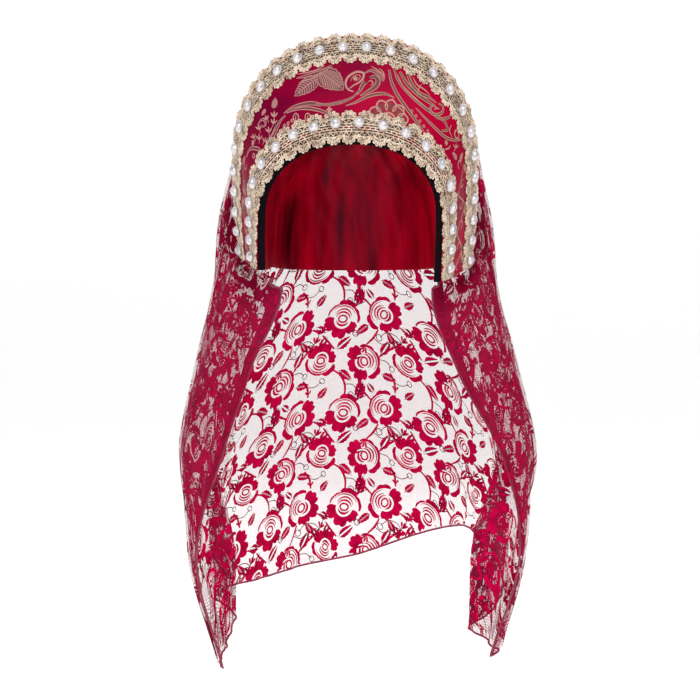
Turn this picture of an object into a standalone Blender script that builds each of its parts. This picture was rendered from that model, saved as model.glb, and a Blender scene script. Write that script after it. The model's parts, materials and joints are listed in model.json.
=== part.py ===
"""French hood: a flared brocade crescent on a satin cap, edged with two pearled lace trims, with a hanging veil.

Metres, +Z up, the face looks along -Y. The origin is the seat on the crown of the head, inside the cap.
"""

import functools
import math
from collections import namedtuple

import bmesh
import bpy
import numpy as np

# Gap kept between pieces that touch on the real hood
SEAM_GAP = 0.0003

# The crescent: a wall ruled between its front edge round the face and its rim
CRESCENT_WALL = 0.0030
TOP_LEAN = 0.5  # how much more the crescent leans back near its rim, over the forehead
CRESCENT_COLUMNS, CRESCENT_ROWS = 40, 5

# Both side ends: the wearer's right side, at -X, is cut a little shorter than the other
Arch = namedtuple("Arch", "half_width top spring top_y end_y end_half_width end_z_minus end_z_plus")
FACE_EDGE = Arch(0.0900, -0.0115, -0.0880, -0.0450, -0.0750, 0.0885, -0.1425, -0.1545)
RIM = Arch(0.1205, 0.0915, -0.0300, -0.0120, 0.0130, 0.1145, -0.1265, -0.1365)
ARCH_ROUNDNESS = 2.2  # 2 is an ellipse, more has fuller shoulders
ARCH_STEPS = 160  # samples used to measure along an arch

# The black binding round the face opening
BINDING_WIDTH, BINDING_DEPTH = 0.0052, 0.0085
BINDING_SET_BACK = 0.0030  # it lies this far behind the face edge, under the trim's tips

# The cap: an arched front part that joins a rounded back
CAP_WALL = 0.0020
CAP_HALF_WIDTH, CAP_BACK_REACH = 0.0810, 0.0880
CAP_PIVOT_Y, CAP_LOW_Z, CAP_TOP_Z = 0.0120, -0.1370, 0.0012
CAP_ROUNDNESS = 2.35  # 2 is an ellipse, more is fuller
CAP_COLUMNS, CAP_FRONT_ROWS, CAP_BACK_ROWS = 28, 4, 8

# Guipure lace trims: scallops on both sides of a pierced ladder
TRIM_WALL, TRIM_HALF_WIDTH, SCALLOP_DEPTH, SCALLOP_PITCH = 0.0015, 0.0170, 0.0042, 0.0160
LADDER_HALF_WIDTH = 0.0034
TRIM_OVERHANG = 0.0030  # how far the scallop tips pass the crescent's edge
FACE_TRIM_DROP = 0.0035  # how much lower the face trim hangs over the forehead than its pearls
CELLS_PER_SCALLOP = 4

# Pearls: domes with a flat back
PEARL_RADIUS, PEARL_HEIGHT, PEARL_SIDES = 0.0054, 0.0046, 10

# A row of pearls: how many, how far its middle lies towards +X from the top, what is left free at its ends,
# and how much wider the pearls stand at the top than evenly
PearlRow = namedtuple("PearlRow", "count middle end_margin spread")
FACE_PEARLS, RIM_PEARLS = PearlRow(20, -0.0045, 0.0115, 0.09), PearlRow(26, 0.0015, 0.0095, 0.07)

# The veil
VEIL_WALL = 0.0012
VEIL_PAST_RIM = 0.0015  # its top edge is sewn along the rim's edge
VEIL_END_SLACK = 0.0040  # and this much further off at the rim's two ends
VEIL_LEAVES_BACK = 0.0110  # it runs straight back this far before it falls
VEIL_CLEAR_OF_CAP = 0.0030
VEIL_COLUMNS, VEIL_ROWS = 54, 14
EAR_BELOW_END, NECK_Z, CHEST_Z, LOW_SHARE = 0.0240, -0.2400, -0.3300, 0.45
EAR_POINT = (0.0790, -0.0020, -0.1400)  # where the veil's front corner is sewn under the cap
RETURN_SPAN = 0.12  # share past the end of the rim at which the ear point lies
VEIL_UNDER_END = 0.0080  # between them it passes this far under the crescent's end

# A row for each fold line: where it is sewn on the rim (0 at the top, 1 at the +X end), then where it hangs.
FoldLine = namedtuple("FoldLine", "sewn ear_x ear_y neck_x neck_y chest_x chest_y low_x low_y hem_x hem_y hem_z")
FOLD_LINES = (
    FoldLine(-1.12, -0.077, -0.004, -0.104, -0.005, -0.132, -0.018, -0.158, -0.020, -0.135, -0.010, -0.538),
    FoldLine(-1.00, -0.121, 0.002, -0.133, -0.024, -0.157, -0.026, -0.164, -0.010, -0.134, -0.002, -0.532),
    FoldLine(-0.90, -0.137, 0.010, -0.150, -0.012, -0.168, -0.016, -0.161, -0.006, -0.132, 0.000, -0.524),
    FoldLine(-0.74, -0.141, 0.010, -0.159, 0.000, -0.1745, -0.004, -0.152, -0.006, -0.130, 0.002, -0.514),
    FoldLine(-0.60, -0.134, 0.040, -0.151, 0.036, -0.152, 0.024, -0.124, -0.002, -0.122, 0.002, -0.486),
    FoldLine(-0.46, -0.113, 0.064, -0.131, 0.062, -0.140, 0.054, -0.147, 0.032, -0.142, 0.030, -0.468),
    FoldLine(-0.30, -0.083, 0.092, -0.096, 0.097, -0.104, 0.098, -0.112, 0.086, -0.108, 0.082, -0.458),
    FoldLine(-0.14, -0.042, 0.110, -0.049, 0.117, -0.054, 0.124, -0.058, 0.128, -0.056, 0.130, -0.446),
    FoldLine(0.00, 0.000, 0.114, 0.000, 0.120, 0.000, 0.119, 0.001, 0.114, 0.002, 0.112, -0.432),
    FoldLine(0.14, 0.042, 0.110, 0.049, 0.117, 0.055, 0.124, 0.058, 0.128, 0.057, 0.130, -0.414),
    FoldLine(0.30, 0.083, 0.092, 0.097, 0.097, 0.106, 0.098, 0.112, 0.088, 0.110, 0.084, -0.402),
    FoldLine(0.46, 0.113, 0.064, 0.131, 0.062, 0.142, 0.054, 0.151, 0.034, 0.148, 0.030, -0.466),
    FoldLine(0.60, 0.134, 0.040, 0.152, 0.036, 0.147, 0.022, 0.121, -0.002, 0.1165, 0.000, -0.496),
    FoldLine(0.74, 0.141, 0.010, 0.161, 0.000, 0.1785, -0.002, 0.152, -0.006, 0.132, 0.004, -0.508),
    FoldLine(0.90, 0.137, 0.010, 0.152, -0.012, 0.175, -0.014, 0.162, -0.006, 0.137, 0.002, -0.514),
    FoldLine(1.00, 0.122, 0.003, 0.134, -0.024, 0.169, -0.024, 0.167, -0.008, 0.140, 0.000, -0.518),
    FoldLine(1.12, 0.078, -0.004, 0.103, -0.005, 0.149, -0.016, 0.167, -0.018, 0.139, -0.008, -0.524),
)

# Shallow ripples between the fold lines: count across the veil, depth at the hem, and a turn
Ripple = namedtuple("Ripple", "count depth turn")
RIPPLES = (Ripple(11.0, 0.0026, 0.6), Ripple(17.0, 0.0014, 2.1))

Colour = namedtuple("Colour", "red green blue roughness metallic")
BROCADE_RED = Colour(0.42, 0.004, 0.045, 0.42, 0.0)
SATIN_RED = Colour(0.36, 0.004, 0.030, 0.35, 0.0)
LACE_GOLD = Colour(0.52, 0.39, 0.24, 0.60, 0.1)
BINDING_BLACK = Colour(0.012, 0.010, 0.013, 0.85, 0.0)
PEARL_WHITE = Colour(0.82, 0.80, 0.84, 0.18, 0.0)
VEIL_RED = Colour(0.40, 0.010, 0.070, 0.70, 0.0)


def clear_scene():
    """Removes whatever the scene holds."""
    for thing in list(bpy.data.objects):
        bpy.data.objects.remove(thing, do_unlink=True)


def material(name, colour):
    """A Principled material of one colour."""
    made = bpy.data.materials.new(name)
    made.use_nodes = True
    shader = made.node_tree.nodes["Principled BSDF"]
    shader.inputs["Base Color"].default_value = (colour.red, colour.green, colour.blue, 1.0)
    shader.inputs["Roughness"].default_value = colour.roughness
    shader.inputs["Metallic"].default_value = colour.metallic
    return made


@functools.lru_cache
def half_arch(arch, end_z):
    """x, z and run down one side of a horseshoe arch: a full quarter from the top, then a leg that draws in."""
    turn = np.linspace(0.0, math.pi / 2, ARCH_STEPS)
    x = arch.half_width * np.sin(turn) ** (2 / ARCH_ROUNDNESS)
    z = arch.spring + (arch.top - arch.spring) * np.cos(turn) ** (2 / ARCH_ROUNDNESS)
    down = np.linspace(0.0, 1.0, ARCH_STEPS)[1:]
    leg_x = arch.half_width - (arch.half_width - arch.end_half_width) * down**2
    leg_z = arch.spring + (end_z - arch.spring) * down
    x, z = np.concatenate([x, leg_x]), np.concatenate([z, leg_z])
    return x, z, np.concatenate([[0.0], np.cumsum(np.hypot(np.diff(x), np.diff(z)))])


def arch_point(arch, share):
    """The point at a share of the arch's length: 0 at the top, -1 and 1 at its two ends."""
    end_z = arch.end_z_plus if share > 0 else arch.end_z_minus
    x, z, run = half_arch(arch, end_z)
    at = min(abs(share), 1.0) * run[-1]
    side = 1.0 if share > 0 else -1.0
    px, pz = np.interp(at, run, x), np.interp(at, run, z)
    fall = max(arch.top - pz, 0.0) / (arch.top - end_z)
    return np.array([side * px, arch.top_y + (arch.end_y - arch.top_y) * fall**1.2, pz])


def run_of(points):
    """The length along a row of points, from its start."""
    return np.concatenate([[0.0], np.cumsum(np.linalg.norm(np.diff(points, axis=0), axis=1))])


def crescent_point(share, across):
    """A point on the crescent's middle surface: across is 0 at the face edge and 1 at the rim."""
    low, high = arch_point(FACE_EDGE, share), arch_point(RIM, share)
    point = low + (high - low) * across
    lean = 1.0 + TOP_LEAN * (1.0 - share**2) ** 2
    if 0.0 < across < 1.0:
        point[1] = low[1] + (high[1] - low[1]) * across**lean
    return point


def crescent_normal(share, across):
    """The crescent's outward direction."""
    step = 0.01
    inside = min(max(share, -1.0 + step), 1.0 - step)
    held = min(max(across, step), 1.0 - step)
    along = crescent_point(inside + step, held) - crescent_point(inside - step, held)
    out = crescent_point(inside, held + step) - crescent_point(inside, held - step)
    normal = np.cross(along, out)
    return normal / np.linalg.norm(normal)


def crescent_across(share, distance):
    """The across value that lies this many metres from the face edge, measured on the surface."""
    steps = np.linspace(0.0, 1.0, 17)
    run = run_of(np.array([crescent_point(share, a) for a in steps]))
    if distance < 0.0:
        return distance / run[-1]
    if distance > run[-1]:
        return 1.0 + (distance - run[-1]) / run[-1]
    return float(np.interp(distance, run, steps))


@functools.lru_cache
def crescent_width(share):
    """The crescent's width from its face edge to its rim."""
    return float(run_of(np.array([crescent_point(share, a) for a in np.linspace(0.0, 1.0, 17)]))[-1])


def on_crescent(share, distance, lift):
    """A point lifted off the crescent's middle surface, at a distance from its face edge."""
    across = crescent_across(share, distance)
    return crescent_point(share, across) + crescent_normal(share, across) * lift


def mesh_object(name, points, faces, look):
    """An object with this mesh, its doubles merged, shaded smooth."""
    mesh = bpy.data.meshes.new(name)
    mesh.from_pydata([tuple(p) for p in points], [], faces)
    made = bpy.data.objects.new(name, mesh)
    bpy.context.scene.collection.objects.link(made)
    work = bmesh.new()
    work.from_mesh(mesh)
    bmesh.ops.remove_doubles(work, verts=work.verts, dist=1e-6)
    work.to_mesh(mesh)
    work.free()
    mesh.shade_smooth()
    mesh.set_sharp_from_angle(angle=math.radians(40))
    mesh.materials.append(look)
    return made


def grid_faces(columns, rows, kept=lambda column, row: True):
    """Quads of a grid stored row by row, leaving out the cells that kept refuses."""
    wide = columns + 1
    return [
        (r * wide + c, r * wide + c + 1, (r + 1) * wide + c + 1, (r + 1) * wide + c)
        for r in range(rows)
        for c in range(columns)
        if kept(c, r)
    ]


def thicken(made, wall):
    """A Solidify modifier that gives a sheet its wall, half on each side."""
    shell = made.modifiers.new("wall", "SOLIDIFY")
    shell.thickness = wall
    shell.offset = 0.0
    shell.use_even_offset = False
    return made


def make_crescent(look):
    """The brocade crescent."""
    shares = np.linspace(-1.0, 1.0, CRESCENT_COLUMNS + 1)
    acrosses = np.linspace(0.0, 1.0, CRESCENT_ROWS + 1)
    points = [crescent_point(s, a) for a in acrosses for s in shares]
    return thicken(mesh_object("crescent", points, grid_faces(CRESCENT_COLUMNS, CRESCENT_ROWS), look), CRESCENT_WALL)


def make_binding(look):
    """The black binding: a rounded band swept along the face edge, just inside it."""
    rounded = 0.3
    reach, depth = BINDING_WIDTH / 2, BINDING_DEPTH / 2
    outline = (
        (-reach, -depth * rounded), (-reach, depth * rounded), (-reach * rounded, depth),
        (reach, depth * rounded), (reach, -depth * rounded), (-reach * rounded, -depth),
    )
    points = []
    columns = CRESCENT_COLUMNS
    for share in np.linspace(-1.0, 1.0, columns + 1):
        edge = crescent_point(share, 0.0)
        outward = inward_normal(share)
        centre = edge - outward * (CRESCENT_WALL / 2 + SEAM_GAP + reach)
        for out, back in outline:
            points.append(centre + outward * out + np.array([0.0, back + BINDING_SET_BACK, 0.0]))
    ring = len(outline)
    faces = [
        (c * ring + k, (c + 1) * ring + k, (c + 1) * ring + (k + 1) % ring, c * ring + (k + 1) % ring)
        for c in range(columns)
        for k in range(ring)
    ]
    faces.append(tuple(range(ring)))
    faces.append(tuple(columns * ring + k for k in reversed(range(ring))))
    return face_out(mesh_object("face_binding", points, faces, look))


def inward_normal(share):
    """The direction that points away from the opening, square to the face edge, seen from the front."""
    step = 0.01
    inside = min(max(share, -1.0 + step), 1.0 - step)
    along = arch_point(FACE_EDGE, inside + step) - arch_point(FACE_EDGE, inside - step)
    away = np.array([-along[2], 0.0, along[0]])
    return away / np.linalg.norm(away)


def face_out(made):
    """Turns a closed mesh's faces outwards."""
    work = bmesh.new()
    work.from_mesh(made.data)
    bmesh.ops.recalc_face_normals(work, faces=work.faces)
    work.to_mesh(made.data)
    work.free()
    return made


def rounded(value, power):
    """The superellipse's version of a sine or cosine."""
    return math.copysign(abs(value) ** (2.0 / power), value)


def cap_arch(share):
    """The cap's arch over the crown, in the plane of its pivot: sideways and upward shares."""
    turn = share * math.pi / 2
    return rounded(math.sin(turn), CAP_ROUNDNESS), max(rounded(math.cos(turn), CAP_ROUNDNESS), 0.0)


def cap_front_edge(share):
    """The cap's front edge, just behind the binding."""
    edge = crescent_point(share, 0.0) - inward_normal(share) * (CRESCENT_WALL / 2 + SEAM_GAP + BINDING_WIDTH / 2)
    return edge + np.array([0.0, BINDING_SET_BACK + BINDING_DEPTH / 2 + 2 * SEAM_GAP, 0.0])


def make_cap(look):
    """The satin cap: its front arch narrows to the head, and its back closes round it."""
    height = CAP_TOP_Z - CAP_LOW_Z
    shares = np.linspace(-1.0, 1.0, CAP_COLUMNS + 1)
    points = []
    for row in range(CAP_FRONT_ROWS):
        blend = row / CAP_FRONT_ROWS
        ease = blend * (2.0 - blend)
        for share in shares:
            side, rise = cap_arch(share)
            front = cap_front_edge(share)
            crown = np.array([side * CAP_HALF_WIDTH, CAP_PIVOT_Y, CAP_LOW_Z + height * rise])
            point = front + (crown - front) * ease
            point[1] = front[1] + (crown[1] - front[1]) * blend
            points.append(point)
    for row in range(CAP_BACK_ROWS + 1):
        lean = math.pi / 2 * (1.0 - row / CAP_BACK_ROWS)
        back, up = rounded(math.cos(lean), CAP_ROUNDNESS), rounded(math.sin(lean), CAP_ROUNDNESS)
        for share in shares:
            side, rise = cap_arch(share)
            y = CAP_PIVOT_Y + CAP_BACK_REACH * rise * max(back, 0.0)
            z = CAP_LOW_Z + height * rise * max(up, 0.0)
            points.append(np.array([side * CAP_HALF_WIDTH, y, z]))
    rows = CAP_FRONT_ROWS + CAP_BACK_ROWS
    return thicken(mesh_object("satin_cap", points, grid_faces(CAP_COLUMNS, rows), look), CAP_WALL)


def trim_line(from_rim):
    """Shares along the line of a trim's pearls, and the length run at each."""
    shares = np.linspace(-1.0, 1.0, 2 * ARCH_STEPS + 1)
    inset = TRIM_HALF_WIDTH - TRIM_OVERHANG
    points = [on_crescent(s, crescent_width(s) - inset if from_rim else inset, 0.0) for s in shares]
    return shares, run_of(points)


def trim_place(from_rim, share, offset):
    """The distance from the face edge of a point this far from the line of the trim's pearls, towards the rim."""
    inset = TRIM_HALF_WIDTH - TRIM_OVERHANG
    return (crescent_width(share) - inset if from_rim else inset) + offset


def trim_drop(from_rim, share):
    """How far the trim's middle lies below its pearls."""
    return 0.0 if from_rim else FACE_TRIM_DROP * (1.0 - share**2) ** 2


def make_trim(name, from_rim, look):
    """A scalloped ribbon on the crescent, with its ladder cut through."""
    shares, run = trim_line(from_rim)
    scallops = round(run[-1] / SCALLOP_PITCH)
    columns = scallops * CELLS_PER_SCALLOP
    lift = CRESCENT_WALL / 2 + SEAM_GAP + TRIM_WALL / 2
    points = []
    for side, scallop in ((-1, True), (-1, False), (1, False), (1, True)):
        for column in range(columns + 1):
            share = float(np.interp(run[-1] * column / columns, run, shares))
            swell = abs(math.sin(math.pi * column / CELLS_PER_SCALLOP)) ** 0.7
            reach = TRIM_HALF_WIDTH - SCALLOP_DEPTH * (1.0 - swell) if scallop else LADDER_HALF_WIDTH
            offset = side * reach - trim_drop(from_rim, share)
            points.append(on_crescent(share, trim_place(from_rim, share, offset), lift))
    kept = lambda column, row: row != 1 or column % 2 == 0
    return thicken(mesh_object(name, points, grid_faces(columns, 3, kept), look), TRIM_WALL)


def make_pearl(name, from_rim, share, look):
    """One pearl: a dome of ten sides that sits on the trim's ladder."""
    lift = CRESCENT_WALL / 2 + SEAM_GAP + TRIM_WALL + SEAM_GAP
    seat = on_crescent(share, trim_place(from_rim, share, 0.0), lift)
    normal = crescent_normal(share, crescent_across(share, trim_place(from_rim, share, 0.0)))
    side = np.cross(normal, [0.0, 0.0, 1.0])
    side = side / np.linalg.norm(side)
    over = np.cross(normal, side)
    points, sides = [], PEARL_SIDES
    for rise, girth in ((0.0, 1.0), (math.sin(math.radians(48)), math.cos(math.radians(48)))):
        for k in range(sides):
            turn = 2 * math.pi * k / sides
            spoke = side * math.cos(turn) + over * math.sin(turn)
            points.append(seat + spoke * PEARL_RADIUS * girth + normal * PEARL_HEIGHT * rise)
    points.append(seat + normal * PEARL_HEIGHT)
    faces = [(k, (k + 1) % sides, sides + (k + 1) % sides, sides + k) for k in range(sides)]
    faces += [(sides + k, sides + (k + 1) % sides, 2 * sides) for k in range(sides)]
    faces.append(tuple(reversed(range(sides))))
    return face_out(mesh_object(name, points, faces, look))


def make_pearls(prefix, from_rim, row, look):
    """A row of pearls along a trim, a little wider apart at the top than down its legs."""
    shares, run = trim_line(from_rim)
    middle = float(np.interp(0.0, shares, run)) + row.middle
    each_side = row.count // 2
    steps = (np.arange(each_side) + 0.5) / (each_side - 0.5)
    spread = steps * (1.0 + row.spread) - row.spread * steps**3
    before = middle - spread * (middle - row.end_margin)
    after = middle + spread * (run[-1] - row.end_margin - middle)
    for index, at in enumerate([*before[::-1], *after], start=1):
        make_pearl(f"{prefix}_{index:02d}", from_rim, float(np.interp(at, run, shares)), look)


def veil_top(sewn):
    """Where the veil is sewn: behind the rim, and past its ends on the way to the ear point."""
    share = min(max(sewn, -1.0), 1.0)
    rim = on_crescent(share, crescent_width(share) + VEIL_PAST_RIM + VEIL_END_SLACK * share**8, 0.0)
    past = (abs(sewn) - 1.0) / RETURN_SPAN
    if past <= 0.0:
        return rim
    ear = np.array([math.copysign(EAR_POINT[0], sewn), EAR_POINT[1], EAR_POINT[2]])
    point = rim + (ear - rim) * past
    point[2] = rim[2] + (min(ear[2], rim[2]) - VEIL_UNDER_END - rim[2]) * min(4.0 * past, 1.0)
    return point


def off_cap(point):
    """The point, moved out of the cap where it would lie in it."""
    reach = np.array([
        CAP_HALF_WIDTH + VEIL_CLEAR_OF_CAP,
        CAP_BACK_REACH + VEIL_CLEAR_OF_CAP,
        CAP_TOP_Z - CAP_LOW_Z + VEIL_CLEAR_OF_CAP,
    ])
    from_pivot = point - np.array([0.0, CAP_PIVOT_Y, CAP_LOW_Z])
    if from_pivot[2] < 0.0:
        share = np.abs(from_pivot[:2] / reach[:2])
    else:
        share = np.abs(from_pivot / reach)
    if from_pivot[1] < 0.0:
        share[1] = 0.0
    inside = float((share**CAP_ROUNDNESS).sum()) ** (1.0 / CAP_ROUNDNESS)
    if inside >= 1.0 or inside < 1e-6 or from_pivot[2] < -0.02:
        return point
    grow = 1.0 / inside
    moved = from_pivot * np.array([grow, grow if from_pivot[1] > 0.0 else 1.0, grow if from_pivot[2] > 0.0 else 1.0])
    return moved + np.array([0.0, CAP_PIVOT_Y, CAP_LOW_Z])


def smooth_through(knots, values, at):
    """A smooth curve through the values at the knots, read at other places."""
    knots, values, at = np.asarray(knots), np.asarray(values), np.asarray(at)
    slope = np.zeros_like(values)
    gap = np.diff(knots)[:, None]
    rate = np.diff(values, axis=0) / gap
    slope[1:-1] = (rate[:-1] * gap[1:] + rate[1:] * gap[:-1]) / (gap[1:] + gap[:-1])
    slope[0], slope[-1] = rate[0], rate[-1]
    index = np.clip(np.searchsorted(knots, at, side="right") - 1, 0, len(knots) - 2)
    width = (knots[index + 1] - knots[index])[:, None]
    t = (at - knots[index])[:, None] / width
    start, end = values[index], values[index + 1]
    return (
        (2 * t**3 - 3 * t**2 + 1) * start + (t**3 - 2 * t**2 + t) * slope[index] * width
        + (-2 * t**3 + 3 * t**2) * end + (t**3 - t**2) * slope[index + 1] * width
    )


def hang(line, rows):
    """One fold line's points from the rim to the hem, at even steps of its length."""
    top = veil_top(line.sewn)
    low_z = CHEST_Z + (line.hem_z - CHEST_Z) * LOW_SHARE
    spots = [top]
    end_z = RIM.end_z_plus if line.sewn > 0 else RIM.end_z_minus
    ear = np.array([line.ear_x, line.ear_y, end_z - EAR_BELOW_END])
    if abs(line.sewn) <= 1.0:
        spots.append(top + np.array([0.0, VEIL_LEAVES_BACK, -0.0005]))
    if top[2] > ear[2] + 0.06:
        spots.append(top + (ear - top) * np.array([0.72, 0.80, 0.45]))
    spots.append(ear)
    spots.append([line.neck_x, line.neck_y, NECK_Z])
    spots.append([line.chest_x, line.chest_y, CHEST_Z])
    spots.append([line.low_x, line.low_y, low_z])
    spots.append([line.hem_x, line.hem_y, line.hem_z])
    spots = np.array(spots)
    fine = smooth_through(run_of(spots), spots, np.linspace(0.0, run_of(spots)[-1], 8 * rows + 1))
    return smooth_through(run_of(fine), fine, np.linspace(0.0, run_of(fine)[-1], rows + 1))


def veil_grid(columns, rows):
    """The veil's points, row by row from the rim to the hem, from its -X edge to its +X edge."""
    lines = np.array([hang(line, rows) for line in FOLD_LINES])
    middle = lines[:, rows // 2]
    knots = run_of(middle)
    across = np.linspace(0.0, knots[-1], columns + 1)
    grid = []
    for row in range(rows + 1):
        points = smooth_through(knots, lines[:, row], across)
        if row == 0:
            sewn = smooth_through(knots, np.array([[line.sewn] for line in FOLD_LINES]), across)[:, 0]
            points = np.array([veil_top(s) for s in sewn])
        slant = np.gradient(points, axis=0)
        out = np.stack([slant[:, 1], -slant[:, 0], np.zeros(len(points))], axis=1)
        out /= np.linalg.norm(out, axis=1)[:, None] + 1e-12
        share = across / knots[-1]
        fall = (row / rows) ** 1.5
        for ripple in RIPPLES:
            wave = np.sin(2 * math.pi * ripple.count * share + ripple.turn)
            points = points + out * (wave * ripple.depth * fall)[:, None]
        if row:
            points = np.array([off_cap(p) for p in points])
        grid.append(points)
    return np.array(grid)


def make_veil(look):
    """The veil: one hanging sheet, sewn behind the rim."""
    grid = veil_grid(VEIL_COLUMNS, VEIL_ROWS)
    points = grid.reshape(-1, 3)
    return thicken(mesh_object("veil", points, grid_faces(VEIL_COLUMNS, VEIL_ROWS), look), VEIL_WALL)


def build():
    """Makes every piece of the hood."""
    clear_scene()
    gold = material("guipure_gold", LACE_GOLD)
    pearl = material("pearl_white", PEARL_WHITE)
    make_cap(material("satin_red", SATIN_RED))
    make_crescent(material("brocade_red", BROCADE_RED))
    make_binding(material("binding_black", BINDING_BLACK))
    make_trim("face_trim", False, gold)
    make_trim("rim_trim", True, gold)
    make_pearls("face_pearl", False, FACE_PEARLS, pearl)
    make_pearls("rim_pearl", True, RIM_PEARLS, pearl)
    make_veil(material("veil_red", VEIL_RED))


build()
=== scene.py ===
"""The looks of the french hood: a brocade crescent on a satin cap, guipure trims with pearls, and a lace veil."""

import functools
import json
import logging
import math
from dataclasses import dataclass, field
from enum import Enum
from typing import Callable, Iterable, Sequence

import bmesh
import bpy
import numpy as np
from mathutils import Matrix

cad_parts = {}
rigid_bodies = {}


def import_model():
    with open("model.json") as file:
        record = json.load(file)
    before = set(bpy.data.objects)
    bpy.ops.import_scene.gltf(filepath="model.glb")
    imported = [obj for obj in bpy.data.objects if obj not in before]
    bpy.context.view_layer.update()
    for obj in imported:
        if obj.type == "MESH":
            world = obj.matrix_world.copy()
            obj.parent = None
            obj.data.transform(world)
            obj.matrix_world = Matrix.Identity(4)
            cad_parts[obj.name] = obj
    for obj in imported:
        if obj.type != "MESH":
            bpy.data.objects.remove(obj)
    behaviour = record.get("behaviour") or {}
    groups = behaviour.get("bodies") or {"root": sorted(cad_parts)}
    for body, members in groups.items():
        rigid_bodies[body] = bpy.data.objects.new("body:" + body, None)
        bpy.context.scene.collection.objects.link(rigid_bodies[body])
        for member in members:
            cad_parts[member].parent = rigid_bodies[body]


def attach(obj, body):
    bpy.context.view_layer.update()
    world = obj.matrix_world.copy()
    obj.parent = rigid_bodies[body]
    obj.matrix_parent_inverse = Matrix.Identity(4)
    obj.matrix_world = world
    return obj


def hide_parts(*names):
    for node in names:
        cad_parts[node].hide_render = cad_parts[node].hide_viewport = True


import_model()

LOG = logging.getLogger("french_hood")
MM = 0.001
BODY = "root"
UV_NAME = "chart"
OUTWARD = "outward"
CHART_SPAN = 1.6  # The metres of cloth that the UV square covers
VIEW_AZIMUTH = math.radians(4.0)
VIEW_DISTANCE = 2.30
EYE_Z = -0.2200
WHITE = (1.0, 1.0, 1.0, 1.0)
VECTOR = {"data_type": "FLOAT_VECTOR"}


# Colours and shader maths

def linear(red: float, green: float, blue: float) -> tuple[float, float, float, float]:
    """A colour seen on a screen, from 0 to 255, as the linear colour that a shader reads."""
    def channel(value: float) -> float:
        share = value / 255.0
        return share / 12.92 if share <= 0.04045 else ((share + 0.055) / 1.055) ** 2.4
    return channel(red), channel(green), channel(blue), 1.0


def operator(operation: str, turned_round: bool = False) -> Callable:
    """An operator of Term: a Math node between this socket and another value.

    Args:
        operation: The Math node's operation.
        turned_round: Whether the other value comes first.

    Returns:
        The method.
    """
    def apply(self: "Term", other: "Term | float") -> "Term":
        """Adds the node."""
        return self.graph.maths(operation, *((other, self) if turned_round else (self, other)))
    return apply


@dataclass(frozen=True)
class Term:
    """A shader socket that takes part in sums. > gives 1 or 0, and % is never negative."""

    graph: "Graph"
    socket: bpy.types.NodeSocket

    __add__, __sub__, __rsub__ = operator("ADD"), operator("SUBTRACT"), operator("SUBTRACT", True)
    __mul__, __truediv__ = operator("MULTIPLY"), operator("DIVIDE")
    __gt__, __mod__ = operator("GREATER_THAN"), operator("FLOORED_MODULO")

    def __abs__(self) -> "Term":
        """This without its sign."""
        return self.graph.maths("ABSOLUTE", self)

    def held(self) -> "Term":
        """This, held between 0 and 1."""
        return self.graph.maths("MINIMUM", self.graph.maths("MAXIMUM", self, 0.0), 1.0)


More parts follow.
